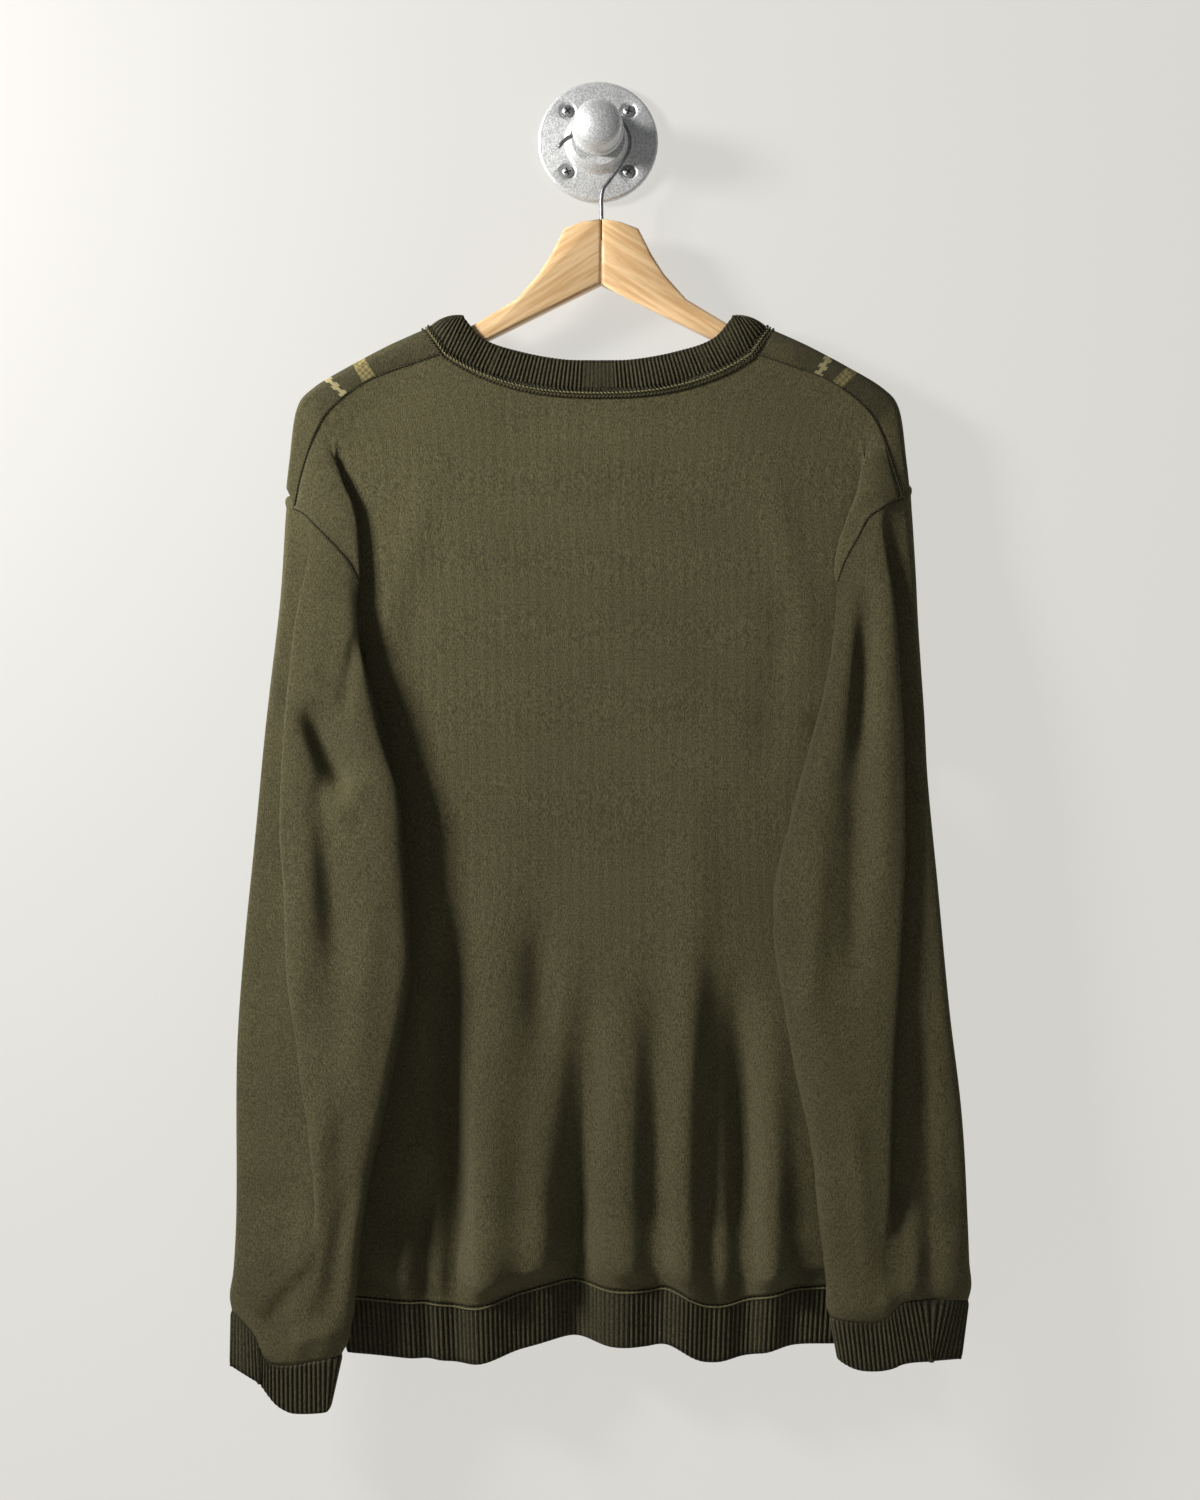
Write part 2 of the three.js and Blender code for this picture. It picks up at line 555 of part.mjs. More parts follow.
function toMesh(name, solid, material) {
  const { vertProperties, triVerts } = solid.getMesh();
  const geometry = new THREE.BufferGeometry();
  geometry.setAttribute('position', new THREE.Float32BufferAttribute(vertProperties, 3));
  geometry.setIndex([...triVerts]);
  const mesh = new THREE.Mesh(geometry, material);
  mesh.name = name;
  return mesh;
}

// A sleeve is left open under the arm, where the folds of four pieces crowd together.
const GUSSET = { width: 30, depth: 34, height: 62, x: 191, middle: 26 };

function openUnderarm(body) {
  const { width, depth, height, x, middle } = GUSSET;
  return [-x, x].reduce((rest, place) => {
    const block = new THREE.BoxGeometry(width, depth, height).translate(place, -middle, UNDERARM_Z + 4);
    return rest.subtract(toSolid(block));
  }, body);
}

function clothMeshes() {
  const back = backRows();
  const front = frontRows();
  const sheet = (name, rows, ring, thickness, material) => ({ name, rows, ring, thickness, material });
  const facing = (sleeve, rows) => (sleeve.side > 0 ? rows.map((row) => [...row].reverse()) : rows);
  const sleeveRows = (sleeve) => facing(sleeve, range(0, SLEEVE_ROWS).map((row) =>
    sleeveRow(sleeve, row / SLEEVE_ROWS).map(([x, z, depth]) => [x * sleeve.side, z, depth])));
  const cuffRows = (sleeve) => {
    const end = facing(sleeve, [cuffRow(sleeve).map(([x, z, depth]) => [x * sleeve.side, z, depth])])[0];
    const start = sleeveRows(sleeve)[SLEEVE_ROWS];
    return [start, start.map((point, i) => mixPoints(point, end[i], 0.5)), end];
  };
  const sheets = makeSheets([
    sheet('back_panel', back, false, JERSEY, WOOL),
    sheet('front_panel', front, false, JERSEY, WOOL),
    sheet('sleeve_left', sleeveRows(LEFT), true, JERSEY, WOOL),
    sheet('sleeve_right', sleeveRows(RIGHT), true, JERSEY, WOOL),
    sheet('collar', collarRows(back, front), true, COLLAR, WOOL_RIB),
    sheet('hem_back', hemRows(back), false, RIB, WOOL_RIB),
    sheet('hem_front', hemRows(front), false, RIB, WOOL_RIB),
    sheet('cuff_left', cuffRows(LEFT), true, RIB, WOOL_RIB),
    sheet('cuff_right', cuffRows(RIGHT), true, RIB, WOOL_RIB),
  ]);
  return sheets.map((entry) => {
    const body = toSolid(shellGeometry(entry));
    const piece = entry.name.startsWith('sleeve') ? openUnderarm(body) : body;
    return toMesh(entry.name, piece, entry.material);
  });
}

// Turns a [radius, depth] profile round a line out from the wall at x, z.
function turned(profile, x = 0, z = 0, sides = 40) {
  const outline = profile.map(([radius, depth]) => new THREE.Vector2(radius, depth));
  const geometry = new THREE.LatheGeometry(outline, sides);
  geometry.rotateX(Math.PI).translate(x, 0, z);
  return toSolid(geometry);
}

const screwPlaces = [-1, 1].flatMap((side) => [-1, 1].map((level) =>
  [side * SCREW.offset, level * SCREW.offset]));

function flange() {
  const { radius, plate, hubRadius, hubDepth, floor } = FLANGE;
  const bore = PIPE.radius + FIT_GAP;
  let body = turned([[0, 0], [radius - 0.6, 0], [radius, 0.8], [radius, plate - 1.5], [radius - 1.5, plate],
    [hubRadius + 4, plate], [hubRadius + 1.2, plate + 2.5], [hubRadius, hubDepth - 1],
    [hubRadius - 1, hubDepth], [bore, hubDepth], [bore, floor], [0, floor]]);
  const { headRadius, shankRadius } = SCREW;
  screwPlaces.forEach(([x, z]) => {
    const hole = turned([[0, -1], [shankRadius + FIT_GAP, -1], [shankRadius + FIT_GAP, 2.4],
      [headRadius + 2.2, plate], [headRadius + 2.2, plate + 9], [0, plate + 9]], x, z, 20);
    body = body.subtract(hole);
  });
  return toMesh('wall_flange', body, ZINC);
}

function screws() {
  const { headRadius, shankRadius } = SCREW;
  return screwPlaces.map(([x, z], i) => {
    const body = turned([[0, 0.4], [shankRadius, 0.4], [shankRadius, 2.8], [headRadius, 5.6],
      [headRadius * 0.8, 6.4], [0, 6.9]], x, z, 16);
    return toMesh(`screw_${i + 1}`, body, SCREW_STEEL);
  });
}

function pipeParts() {
  const { radius, bore } = PIPE;
  const { start, bandEnd, bandRadius, bodyRadius, shoulder, end } = CAP;
  const inside = FLANGE.floor + FIT_GAP;
  const pipeEnd = end - 8;
  const wall = [[bore, inside], [radius, inside], [radius, pipeEnd], [bore, pipeEnd], [bore, inside]];
  const nipple = turned(wall);
  const hollow = radius + FIT_GAP;
  const cap = turned([[hollow, start], [bandRadius, start], [bandRadius, bandEnd - 1],
    [bodyRadius, bandEnd], [bodyRadius, shoulder], [bodyRadius - 4, end - 1.2], [0, end],
    [0, pipeEnd + FIT_GAP], [hollow, pipeEnd + FIT_GAP], [hollow, start]]);
  return [toMesh('pipe_nipple', nipple, ZINC), toMesh('pipe_cap', cap, ZINC)];
}

// The wire runs over the pipe in an open loop and down into the wood.
function hookLine() {
  const { centreX, loop, stemX } = HOOK;
  const top = PIPE.radius + FIT_GAP + HOOK.radius;
  const centreZ = top - loop;
  const round = range(0, 12).map((i) => {
    const turn = THREE.MathUtils.degToRad(168 - i * 17.5);
    return [centreX + loop * Math.cos(turn), centreZ + loop * Math.sin(turn)];
  });
  const path = [[-29, -10.5], [-25.6, -6.6], [-22.4, -3.8], ...round, [9.2, -33.5], [4, -40.5], [stemX, -47],
    [stemX, -60], [stemX, -78]];
  return new THREE.CatmullRomCurve3(path.map(([x, z]) => new THREE.Vector3(x, -HOOK.depth, z)));
}

function hook() {
  const section = new THREE.Shape();
  section.absarc(0, 0, HOOK.radius, 0, Math.PI * 2);
  const geometry = new THREE.ExtrudeGeometry(section, {
    steps: 72,
    curveSegments: 5,
    bevelEnabled: false,
    extrudePath: hookLine(),
  });
  return toMesh('hanger_hook', toSolid(geometry), WIRE);
}

// Half of the hanger, from the middle joint to the rounded tip.
const ARM_TOP = [[0.15, -63.5], [14, -65.5], [27, -70.5], [37, -90], [46, -104], [62, -122], [92, -140],
  [140, -161.5], [168, -174], [188, -185.5], [198, -193.5], [201, -199]];
const ARM_BELOW = [[199.5, -203.5], [193, -203.5], [140, -178], [85, -153], [0.15, -111]];

function hangerArm(side) {
  const outline = [...ARM_TOP, ...ARM_BELOW].map(([x, z]) => new THREE.Vector2(HANGER.centreX + side * x, z));
  const geometry = new THREE.ExtrudeGeometry(new THREE.Shape(outline), {
    depth: HANGER.thickness - 2 * HANGER.edge,
    bevelThickness: HANGER.edge,
    bevelSize: HANGER.edge,
    bevelOffset: -HANGER.edge,
    bevelSegments: 2,
  });
  geometry.rotateX(Math.PI / 2).translate(0, -HANGER.depth + HANGER.thickness / 2 - HANGER.edge, 0);
  const { stemX, depth, radius } = HOOK;
  const drill = new THREE.CylinderGeometry(radius + FIT_GAP, radius + FIT_GAP, 40, 16);
  drill.rotateX(Math.PI / 2).translate(stemX, -depth, -59);
  const body = toSolid(geometry).subtract(toSolid(drill));
  return toMesh(side < 0 ? 'hanger_arm_left' : 'hanger_arm_right', body, WOOD);
}

const group = new THREE.Group();
group.add(flange(), ...screws(), ...pipeParts(), hook(), hangerArm(-1), hangerArm(1), ...clothMeshes());

export default group;
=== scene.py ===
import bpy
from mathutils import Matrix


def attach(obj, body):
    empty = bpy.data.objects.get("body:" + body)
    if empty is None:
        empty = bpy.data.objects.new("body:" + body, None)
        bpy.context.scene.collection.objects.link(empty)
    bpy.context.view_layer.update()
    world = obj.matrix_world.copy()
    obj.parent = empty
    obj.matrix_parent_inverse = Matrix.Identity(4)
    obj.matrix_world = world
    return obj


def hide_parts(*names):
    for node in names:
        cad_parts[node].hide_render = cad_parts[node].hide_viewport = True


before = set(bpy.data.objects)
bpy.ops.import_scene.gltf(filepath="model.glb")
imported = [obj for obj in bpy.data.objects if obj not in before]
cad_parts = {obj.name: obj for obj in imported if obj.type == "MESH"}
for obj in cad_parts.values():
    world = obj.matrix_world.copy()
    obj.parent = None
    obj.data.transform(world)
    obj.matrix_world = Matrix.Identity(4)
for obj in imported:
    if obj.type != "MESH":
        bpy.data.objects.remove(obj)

import logging
import math
from dataclasses import dataclass, field
from enum import Enum

import bmesh
import bpy
import numpy as np
from mathutils import Vector

# A worn wool sweater on a wooden hanger and a wall hook of pipe fittings. Garment sizes are in
# millimetres as [distance from the middle, height, depth from the wall], like the CAD model's.

log = logging.getLogger("sweater")
MM = 0.001
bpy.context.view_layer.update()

Stations = list[list[float]]


class Side(Enum):
    """Which side of the garment, as seen from the room."""

    LEFT = -1
    RIGHT = 1


class Fibre(Enum):
    """How a cloth piece is knitted."""

    JERSEY = "jersey"
    RIB = "rib"


# ---- Curves ------------------------------------------------------------------------------------


def ease(start: float, end: float, value: np.ndarray | float) -> np.ndarray | float:
    """Smooth step from 0 at start to 1 at end."""
    t = np.clip((np.asarray(value, float) - start) / (end - start), 0, 1)
    return t * t * (3 - 2 * t)


def mix(a: np.ndarray | float, b: np.ndarray | float, t: np.ndarray | float) -> np.ndarray | float:
    """Straight blend of a and b."""
    return a + (b - a) * t


def at(stations: Stations, place: np.ndarray | float) -> np.ndarray | float:
    """Smooth curve through [place, value] stations, flat beyond both ends."""
    table = np.array(sorted(stations), float)
    if len(table) == 1:
        return np.full(np.shape(place), table[0, 1]) if np.ndim(place) else float(table[0, 1])
    x, y = table[:, 0], table[:, 1]
    before = np.maximum(np.arange(len(x)) - 1, 0)
    after = np.minimum(np.arange(len(x)) + 1, len(x) - 1)
    slope = (y[after] - y[before]) / (x[after] - x[before])
    where = np.clip(np.asarray(place, float), x[0], x[-1])
    i = np.clip(np.searchsorted(x, where, side="right") - 1, 0, len(x) - 2)
    step = x[i + 1] - x[i]
    t = (where - x[i]) / step
    start = (1 + 2 * t) * (1 - t) ** 2 * y[i] + t * (1 - t) ** 2 * step * slope[i]
    return start + t * t * (3 - 2 * t) * y[i + 1] + t * t * (t - 1) * step * slope[i + 1]


def blend(controls: np.ndarray, counts: list[int], ring: bool) -> np.ndarray:
    """A smooth line over its control points, with counts[i] points round control i."""
    n = len(controls)
    out = []
    for i, control in enumerate(controls):
        first, last = not ring and i == 0, not ring and i == n - 1
        a = control if first else (controls[i - 1] + control) / 2
        b = control if last else (control + controls[(i + 1) % n]) / 2
        middle = (a + b) / 2 if first or last else control
        t = (np.arange(counts[i]) / counts[i])[:, None]
        out.append(mix(mix(a, middle, t), mix(middle, b, t), t))
    if not ring:
        out.append(controls[-1:])
    return np.concatenate(out)


def spread(controls: np.ndarray, cell: float, ring: bool) -> list[int]:
    """How many points each stretch needs for cells about "cell" long."""
    n = len(controls)
    counts = []
    for i in range(n):
        before = controls[i - 1] if ring or i else controls[i]
        after = controls[(i + 1) % n] if ring or i < n - 1 else controls[i]
        reach = (np.linalg.norm(controls[i] - before) + np.linalg.norm(after - controls[i])) / 2
        counts.append(max(2, int(round(reach / cell))))
    return counts


# ---- The cloth's sizes -------------------------------------------------------------------------

@dataclass(frozen=True)
class SleeveSizes:
    """One sleeve's outline and folds, as distance from the middle by height."""

    side: Side
    outer: Stations
    pleat: Stations
    inner: Stations
    valley: Stations
    dip: Stations
    cuff_top: Stations
    cuff_end: Stations
    armhole: Stations
    crease: Stations


@dataclass(frozen=True)
class Fold:
    """A long soft fold: its path, its height above the cloth and its half width."""

    path: Stations
    rise: Stations
    width: float


SHOULDER_SEAM = [
    [110, -161.5, 37.5],
    [139, -171.5, 38.5],
    [168, -183, 39.5],
    [193, -202, 40],
    [205, -221, 40],
    [214.5, -250, 40.5],
]
# The edge of the shoulder that each of those points is folded over.
SHOULDER_EDGE = [
    [124, -140.5],
    [149, -153.5],
    [180, -170],
    [207.5, -186.5],
    [219.5, -202],
    [224.5, -238],
]

FACE = [[-275, 50], [-335, 58], [-420, 66], [-500, 70], [-600, 72], [-800, 72], [-880, 69]]
WALL_SIDE = [[-275, 16], [-335, 24], [-420, 45], [-460, 50], [-700, 51], [-880, 54]]
TUCK = [[-275, 2], [-335, 8], [-450, 14], [-600, 18], [-670, 18], [-725, 14], [-785, 5], [-812, 0]]
RIDGE_INSET = [[-335, 12], [-600, 15], [-678, 19], [-750, 15], [-830, 15], [-885, 24]]

LEFT = SleeveSizes(
    side=Side.LEFT,
    outer=[[-275, 225], [-335, 229], [-420, 237], [-510, 245], [-592, 253], [-667, 258],
      [-785, 258.5], [-850, 262], [-893, 263]],
    pleat=[[-283, 211], [-326, 214], [-414, 222], [-455, 224.6], [-511, 226], [-545, 223],
      [-586, 220.6], [-655, 214], [-694, 209.6], [-724, 204], [-758, 199], [-812, 203], [-880, 226]],
    inner=[[-335, 170.5], [-360, 170], [-394, 164], [-428, 156], [-455, 146], [-470, 141],
      [-511, 139], [-545, 136], [-593, 131], [-627, 135], [-675, 145], [-710, 152], [-744, 160],
      [-798, 169], [-849, 173.6], [-880, 182], [-920, 191]],
    valley=[[-300, 190], [-373, 186], [-435, 194], [-464, 189], [-491, 195], [-538, 193],
      [-580, 188], [-607, 182], [-700, 180], [-800, 187], [-880, 206]],
    dip=[[-300, 0], [-420, 3], [-464, 9], [-495, 4], [-560, 3], [-607, 1], [-700, 0]],
    cuff_top=[[176, -880], [204, -885], [222, -887], [233, -882], [242, -868], [252, -855], [262, -850]],
    cuff_end=[[186, -920], [204, -922], [221, -920.5], [231, -914], [238, -904], [246, -895],
      [262, -890]],
    armhole=[
      [226, -273, 38], [214, -278.5, 43], [211, -281, 45], [208.5, -283.5, 46.3], [206, -286, 47.3],
      [203, -289, 48], [195, -297, 49], [187, -306, 49.3], [178, -316, 48.8], [169.5, -338, 47],
      [187, -419, 42], [191, -421, 20], [203, -345, 14.5], [217, -287, 15], [227.5, -274, 24],
    ],
    crease=[[-224, 192], [-256, 183], [-273, 176], [-288, 173], [-309, 171.5], [-338, 170]],
)
RIGHT = SleeveSizes(
    side=Side.RIGHT,
    outer=[[-266, 226], [-324, 230], [-366, 231.5], [-421, 234], [-470, 236], [-546, 243],
      [-636, 251.4], [-706, 259.7], [-768, 263.5], [-844, 265], [-889, 258]],
    pleat=[[-270, 209], [-312, 210.7], [-366, 213.4], [-442, 217.6], [-525, 218], [-593, 215],
      [-676, 210], [-724, 208.6], [-762, 208], [-812, 209], [-880, 222]],
    inner=[[-334, 170], [-374, 165], [-414, 160], [-442, 153], [-470, 146], [-504, 135],
      [-552, 124], [-572, 122], [-613, 130], [-668, 138], [-703, 146], [-737, 153], [-771, 156],
      [-805, 160], [-858, 166], [-889, 172]],
    valley=[[-300, 192], [-380, 191.6], [-428, 187.5], [-484, 184], [-552, 182], [-607, 181],
      [-700, 184], [-800, 189], [-880, 200]],
    dip=[[-300, 0], [-343, 2], [-428, 5], [-500, 6], [-560, 3], [-620, 0.5], [-700, 0]],
    cuff_top=[[168, -854], [197, -857], [206, -854], [215, -846.5], [225, -840], [262, -843]],
    cuff_end=[[172, -885], [179, -890], [193, -892], [207.5, -891], [218, -886], [254, -885]],
    armhole=[
      [227, -264.5, 38], [213, -270, 43], [210, -271.5, 45], [207.5, -273, 46.3],
      [205, -275, 47.3], [202, -277, 48], [194, -282, 49], [187, -297, 49.3], [177.5, -313, 48.8],
      [169.5, -338, 47], [187, -419, 42], [191, -421, 20], [203, -345, 14.5], [217, -283, 15],
      [228.5, -265.5, 24],
    ],
    crease=[[-224, 193], [-260, 187.5], [-283, 179], [-309, 171.5], [-338, 170]],
)

BACK_DEPTH = [[-161, 37], [-276, 38], [-420, 40.5], [-600, 42], [-842, 41]]
FRONT_DEPTH = [[-161, 14], [-420, 14], [-842, 17]]
FLAP_STEP = [[-212, 0], [-236, 5], [-262, 8], [-338, 8]]
OVERLAP = [[-224, 0], [-256, 6], [-275, 10], [-310, 16], [-338, 18]]
SIDE = [[-420, 188], [-432, 179], [-470, 183], [-500, 189], [-600, 200], [-700, 199],
    [-800, 189], [-842, 184]]
SIDE_SEAM_DEPTH = 28
FOLD_GAIN = 2.0  # how much deeper the cloth's folds are than the list below says
CREASE_GAIN = 1.25  # the same for the short creases
NECK_STRETCH = (0.891, 0.815)  # width of the collar's opening at the back and front, as a share

# Folds of the body: [path of x by height], [depth by height], half width. Depth is towards the room.
BACK_FOLDS = [
    Fold([[-578, -108], [-650, -111], [-771, -104]], [[-555, 0], [-650, -6], [-830, -9]], 12),
    Fold([[-770, -125]], [[-745, 0], [-800, -6], [-836, -6]], 8),
    Fold([[-560, -72], [-830, -80]], [[-470, 0], [-640, 2.5], [-830, 5]], 22),
    Fold([[-569, -41]], [[-560, 0], [-620, -3], [-690, 0], [-790, 3]], 13),
    Fold([[-619, -6], [-771, -14]], [[-595, 0], [-700, -5], [-825, -8]], 13),
    Fold([[-600, 20]], [[-590, 0], [-720, 3.5], [-830, 3]], 18),
    Fold([[-631, 42]], [[-610, 0], [-700, -3], [-800, -4]], 12),
    Fold([[-540, 70], [-830, 60]], [[-440, 0], [-620, 2.5], [-830, 6]], 18),
    Fold([[-596, 83], [-822, 79]], [[-580, 0], [-680, -3], [-822, -4]], 10),
    Fold([[-631, 100], [-744, 106]], [[-600, 0], [-680, -7], [-744, -8], [-820, -6]], 13),
    Fold([[-640, 125]], [[-620, 0], [-750, 4], [-830, 6]], 13),
]
FRONT_FOLDS = [
    Fold([[-600, -95]], [[-560, 0], [-700, 2], [-830, 4]], 22),
    Fold([[-600, -50]], [[-540, 0], [-700, -2], [-830, -3]], 20),
    Fold([[-600, 8]], [[-580, 0], [-700, 2], [-830, 3]], 22),
    Fold([[-600, 60]], [[-560, 0], [-700, -2], [-830, -3]], 20),
    Fold([[-600, 112]], [[-560, 0], [-700, 2], [-830, 4]], 22),
]
# How far the bottom edge swings down (and out) or up (and in), by x.
HEM_WAVE = [[-182, -3], [-130, -8], [-90, -12], [-55, 2], [-20, 11], [10, 3], [35, 3], [52, 5],
    [80, -11], [120, -2], [145, 5], [182, 7]]

NECK_BACK_Z = -189.7
UNDERARM_Z = -420.0
RIB_TOP_Z = -842.0
RIB_HEIGHT = 42.0
HEM_DRAW = 0.985  # how much the rib draws the bottom edge in
NECK_TOP_BACK = [[0, -167.2], [25, -166.5], [57, -160.7], [84, -151], [98, -135.2]]
NECK_TOP_FRONT = [[0, -214], [36, -209], [68, -192], [90, -163], [98, -139], [101, -131]]
# How the front's rows end: [depth of the end], then [along, up, depth] from the fold to the flat.
FRONT_WRAP = {
    41.0: [[-13, 13, 14], [2.5, 12, 18], [3, 11, 34], [1.5, 6, 39]],
    31.0: [[-22, 5, 14], [-7, 6, 15.5], [0.5, 6, 20], [1.5, 4, 27]],
    20.0: [[-27, 2, 14], [-14, 3, 14.3], [-8, 3, 15], [-3, 2, 16.5]],
    14.6: [[-34, 0, 14], [-20, 0, 14], [-12, 0, 14.2], [-6, 0, 14.4]],
}
WRAP_SIDE = [[-28, 0, 14], [-14, 0, 14.5], [-4, 0, 17], [-0.5, 0, 22]]


@dataclass(frozen=True)
class Crease:
    """A short dent or ridge along a straight line, seen from the room."""

    start: tuple[float, float]
    end: tuple[float, float]
    rise: float
    width: float


CREASES = [
    Crease((-207, -424), (-180, -484), -4.5, 6.5),
    Crease((-168, -470), (-186, -500), 2.5, 9.0),
    Crease((-196, -492), (-184, -606), -2.5, 8.0),
    Crease((-174, -373), (-182, -424), -3.0, 6.0),
    Crease((-200, -500), (-214, -640), 2.6, 13.0),
    Crease((-160, -560), (-176, -700), 1.8, 10.0),
    Crease((-190, -690), (-214, -838), 2.2, 9.0),
    Crease((-176, -760), (-190, -850), -2.2, 7.0),
    Crease((-205, -820), (-236, -858), -2.5, 7.0),
    Crease((-214, -868), (-186, -860), 2.5, 7.0),
    Crease((193, -343), (187, -462), -3.5, 7.0),
    Crease((186, -470), (181, -600), -2.5, 8.0),
    Crease((205, -350), (203, -560), 1.8, 8.0),
    Crease((158, -520), (150, -640), 1.8, 9.0),
    Crease((228, -650), (237, -830), -3.0, 8.0),
    Crease((180, -700), (192, -838), 2.0, 9.0),
    Crease((230, -770), (222, -838), 2.2, 7.0),
    Crease((-120, -250), (-154, -372), 1.5, 12.0),
    Crease((124, -250), (152, -372), 1.5, 12.0),
    Crease((-140, -330), (-118, -470), -1.3, 12.0),
    Crease((138, -330), (118, -470), -1.3, 12.0),
    Crease((-60, -214), (58, -213), -0.9, 9.0),
]


# ---- Cloth surfaces ----------------------------------------------------------------------------


def sleeve_section(sleeve: SleeveSizes, z: float) -> np.ndarray:
    """The sleeve's flattened section at a height: strip, pleat, flap and the side to the wall.

    Args:
        sleeve: The sleeve's sizes.
        z: Height in millimetres.

    Returns:
        Fifteen rows of distance from the middle and depth.
    """
    outer, pleat = at(sleeve.outer, z), at(sleeve.pleat, z)
    inner, valley = at(sleeve.inner, z), at(sleeve.valley, z)
    tuck, face, wall = at(TUCK, z), at(FACE, z), at(WALL_SIDE, z)
    folded = min(tuck / 8, 1)
    return np.array([
        [outer, face - 10],
        [outer - at(RIDGE_INSET, z), mix(face - 2.5, face - 8.5, folded)],
        [mix(pleat + 16, pleat - tuck, folded), mix(face - 1.5, face - 8.5, folded)],
        [mix(pleat + 8, pleat - tuck, folded), mix(face - 0.5, face - 5, folded)],
        [mix(pleat + 2, pleat, folded), mix(face, face - 4, folded)],
        [mix(pleat - 6, pleat, folded), face + 0.5],
        [mix(pleat, valley, 0.5), face + 1],
        [valley, face - at(sleeve.dip, z)],
        [mix(valley, inner, 0.55), face + 0.5],
        [inner, face - 4],
        [inner, wall + 3],
        [inner + 22, wall],
        [mix(inner, outer, 0.55), wall],
        [outer - 16, wall],
        [outer, wall + 3],
    ])


def sleeve_controls(sleeve: SleeveSizes, share: float) -> np.ndarray:
    """Control points of one sleeve row, from 0 at the armhole to 1 at the cuff."""
    cuff = sleeve_section(sleeve, -865)
    controls = []
    for k, (top_x, top_z, top_depth) in enumerate(sleeve.armhole):
        z = float(mix(top_z, at(sleeve.cuff_top, cuff[k][0]), share))
        x, depth = sleeve_section(sleeve, z)[k]
        start_x, start_depth = sleeve_section(sleeve, top_z)[k]
        crotch = k in (10, 11)
        pull = 1 - ease(14 if crotch else 0, 64 if crotch else 85, top_z - z)
        pull_out = 1 - ease(0, 12 if crotch else 85, top_z - z)
        controls.append([x + (top_x - start_x) * pull, z, depth + (top_depth - start_depth) * pull_out])
    return np.array(controls)


def cuff_controls(sleeve: SleeveSizes) -> np.ndarray:
    """Control points of the cuff's open end."""
    rows = []
    for x, depth in sleeve_section(sleeve, -880):
        z = float(at(sleeve.cuff_end, x))
        rows.append([max(x, float(at(sleeve.inner, z))), z, mix(depth, 62, 0.18)])
    return np.array(rows)


def ring_line(sleeve: SleeveSizes, spans: list[int], steps: int) -> np.ndarray:
    """The armhole seam along the given control stretches, in order."""
    whole = blend(sleeve_controls(sleeve, 0), [steps] * 15, True)
    forward = spans[1] == spans[0] + 1
    index = [span * steps + k for span in spans for k in range(steps)]
    if forward:
        return whole[[*index, (spans[-1] + 1) * steps % len(whole)]]
    index = [((span + 1) * steps - k) % len(whole) for span in spans for k in range(steps)]
    return whole[[*index, spans[-1] * steps]]


def evenly(line: np.ndarray, count: int) -> np.ndarray:
    """Redraws a line with count points at even distances."""
    length = np.concatenate([[0], np.cumsum(np.linalg.norm(np.diff(line, axis=0), axis=1))])
    places = np.linspace(0, length[-1], count)
    return np.stack([np.interp(places, length, line[:, axis]) for axis in range(3)], axis=1)


@dataclass(frozen=True)
class RowCounts:
    """Rows on the shoulder, the armhole and the side of a panel."""

    shoulder: int
    armhole: int
    side: int


def row_ends(sleeve: SleeveSizes, spans: list[int], counts: RowCounts) -> np.ndarray:
    """Where a panel's rows end: down the shoulder seam, round the armhole and down the side."""
    armhole = evenly(ring_line(sleeve, spans, 24), counts.armhole)
    seam = np.array([*SHOULDER_SEAM, armhole[0]], float)
    places = np.arange(counts.shoulder) / counts.shoulder * (len(seam) - 1)
    numbered = [[[i, value] for i, value in enumerate(seam[:, axis])] for axis in range(3)]
    shoulder = np.stack([at(numbered[axis], places) for axis in range(3)], axis=1)
    z = mix(UNDERARM_Z, RIB_TOP_Z, (np.arange(counts.side) + 1) / counts.side)
    side = np.stack([at(SIDE, z), z, np.full(len(z), float(SIDE_SEAM_DEPTH))], axis=1)
    return np.concatenate([shoulder, armhole, side])


def back_half(sleeve: SleeveSizes, end: np.ndarray, middle_z: float) -> np.ndarray:
    """Half a row of the back: plane, tuck under the flap, flap and seam."""
    end_x, end_z, end_depth = end
    plane = float(at(BACK_DEPTH, end_z))
    crease = end_x - 13 if end_z > -224 else float(at(sleeve.crease, end_z))
    under = crease + float(at(OVERLAP, end_z))
    step = float(at(FLAP_STEP, end_z))
    folded, wrapped = ease(-212, -248, end_z), ease(-322, -350, end_z)
    edge = 189.0 if end_z > UNDERARM_Z else end_x + 0.5
    flap = np.array([
        [crease - 4, plane], [under, plane - 0.3], [under, plane + 3.7], [crease, plane + step - 4],
        [crease, plane + step], [mix(crease, end_x, 0.5), plane + step + 0.5],
    ])
    slack = 8 * ease(-400, -430, end_z) * (1 - ease(-440, -480, end_z))
    corner = np.array([edge, mix(plane, end_depth, 0.42)])
    last = np.array([end_x, end_depth])
    wrap = np.array([[edge - 22, plane], [edge, plane - 0.5 - slack], corner,
                     *[mix(corner, last, t) for t in (0.25, 0.5, 0.75)]])
    share = (np.arange(6) / 6)[:, None]
    smooth = mix(np.array([crease - 10, plane]), last, share)
    outer = mix(mix(smooth, flap, folded), wrap, wrapped)
    plain = np.array([[outer[0, 0] * t, plane] for t in (0, 0.28, 0.55, 0.8)])
    flat = np.concatenate([plain, outer, [last]])
    z = middle_z + (end_z - middle_z) * np.minimum(flat[:, 0] / end_x, 1) ** 2.6
    return np.stack([flat[:, 0] * sleeve.side.value, z, flat[:, 1]], axis=1)


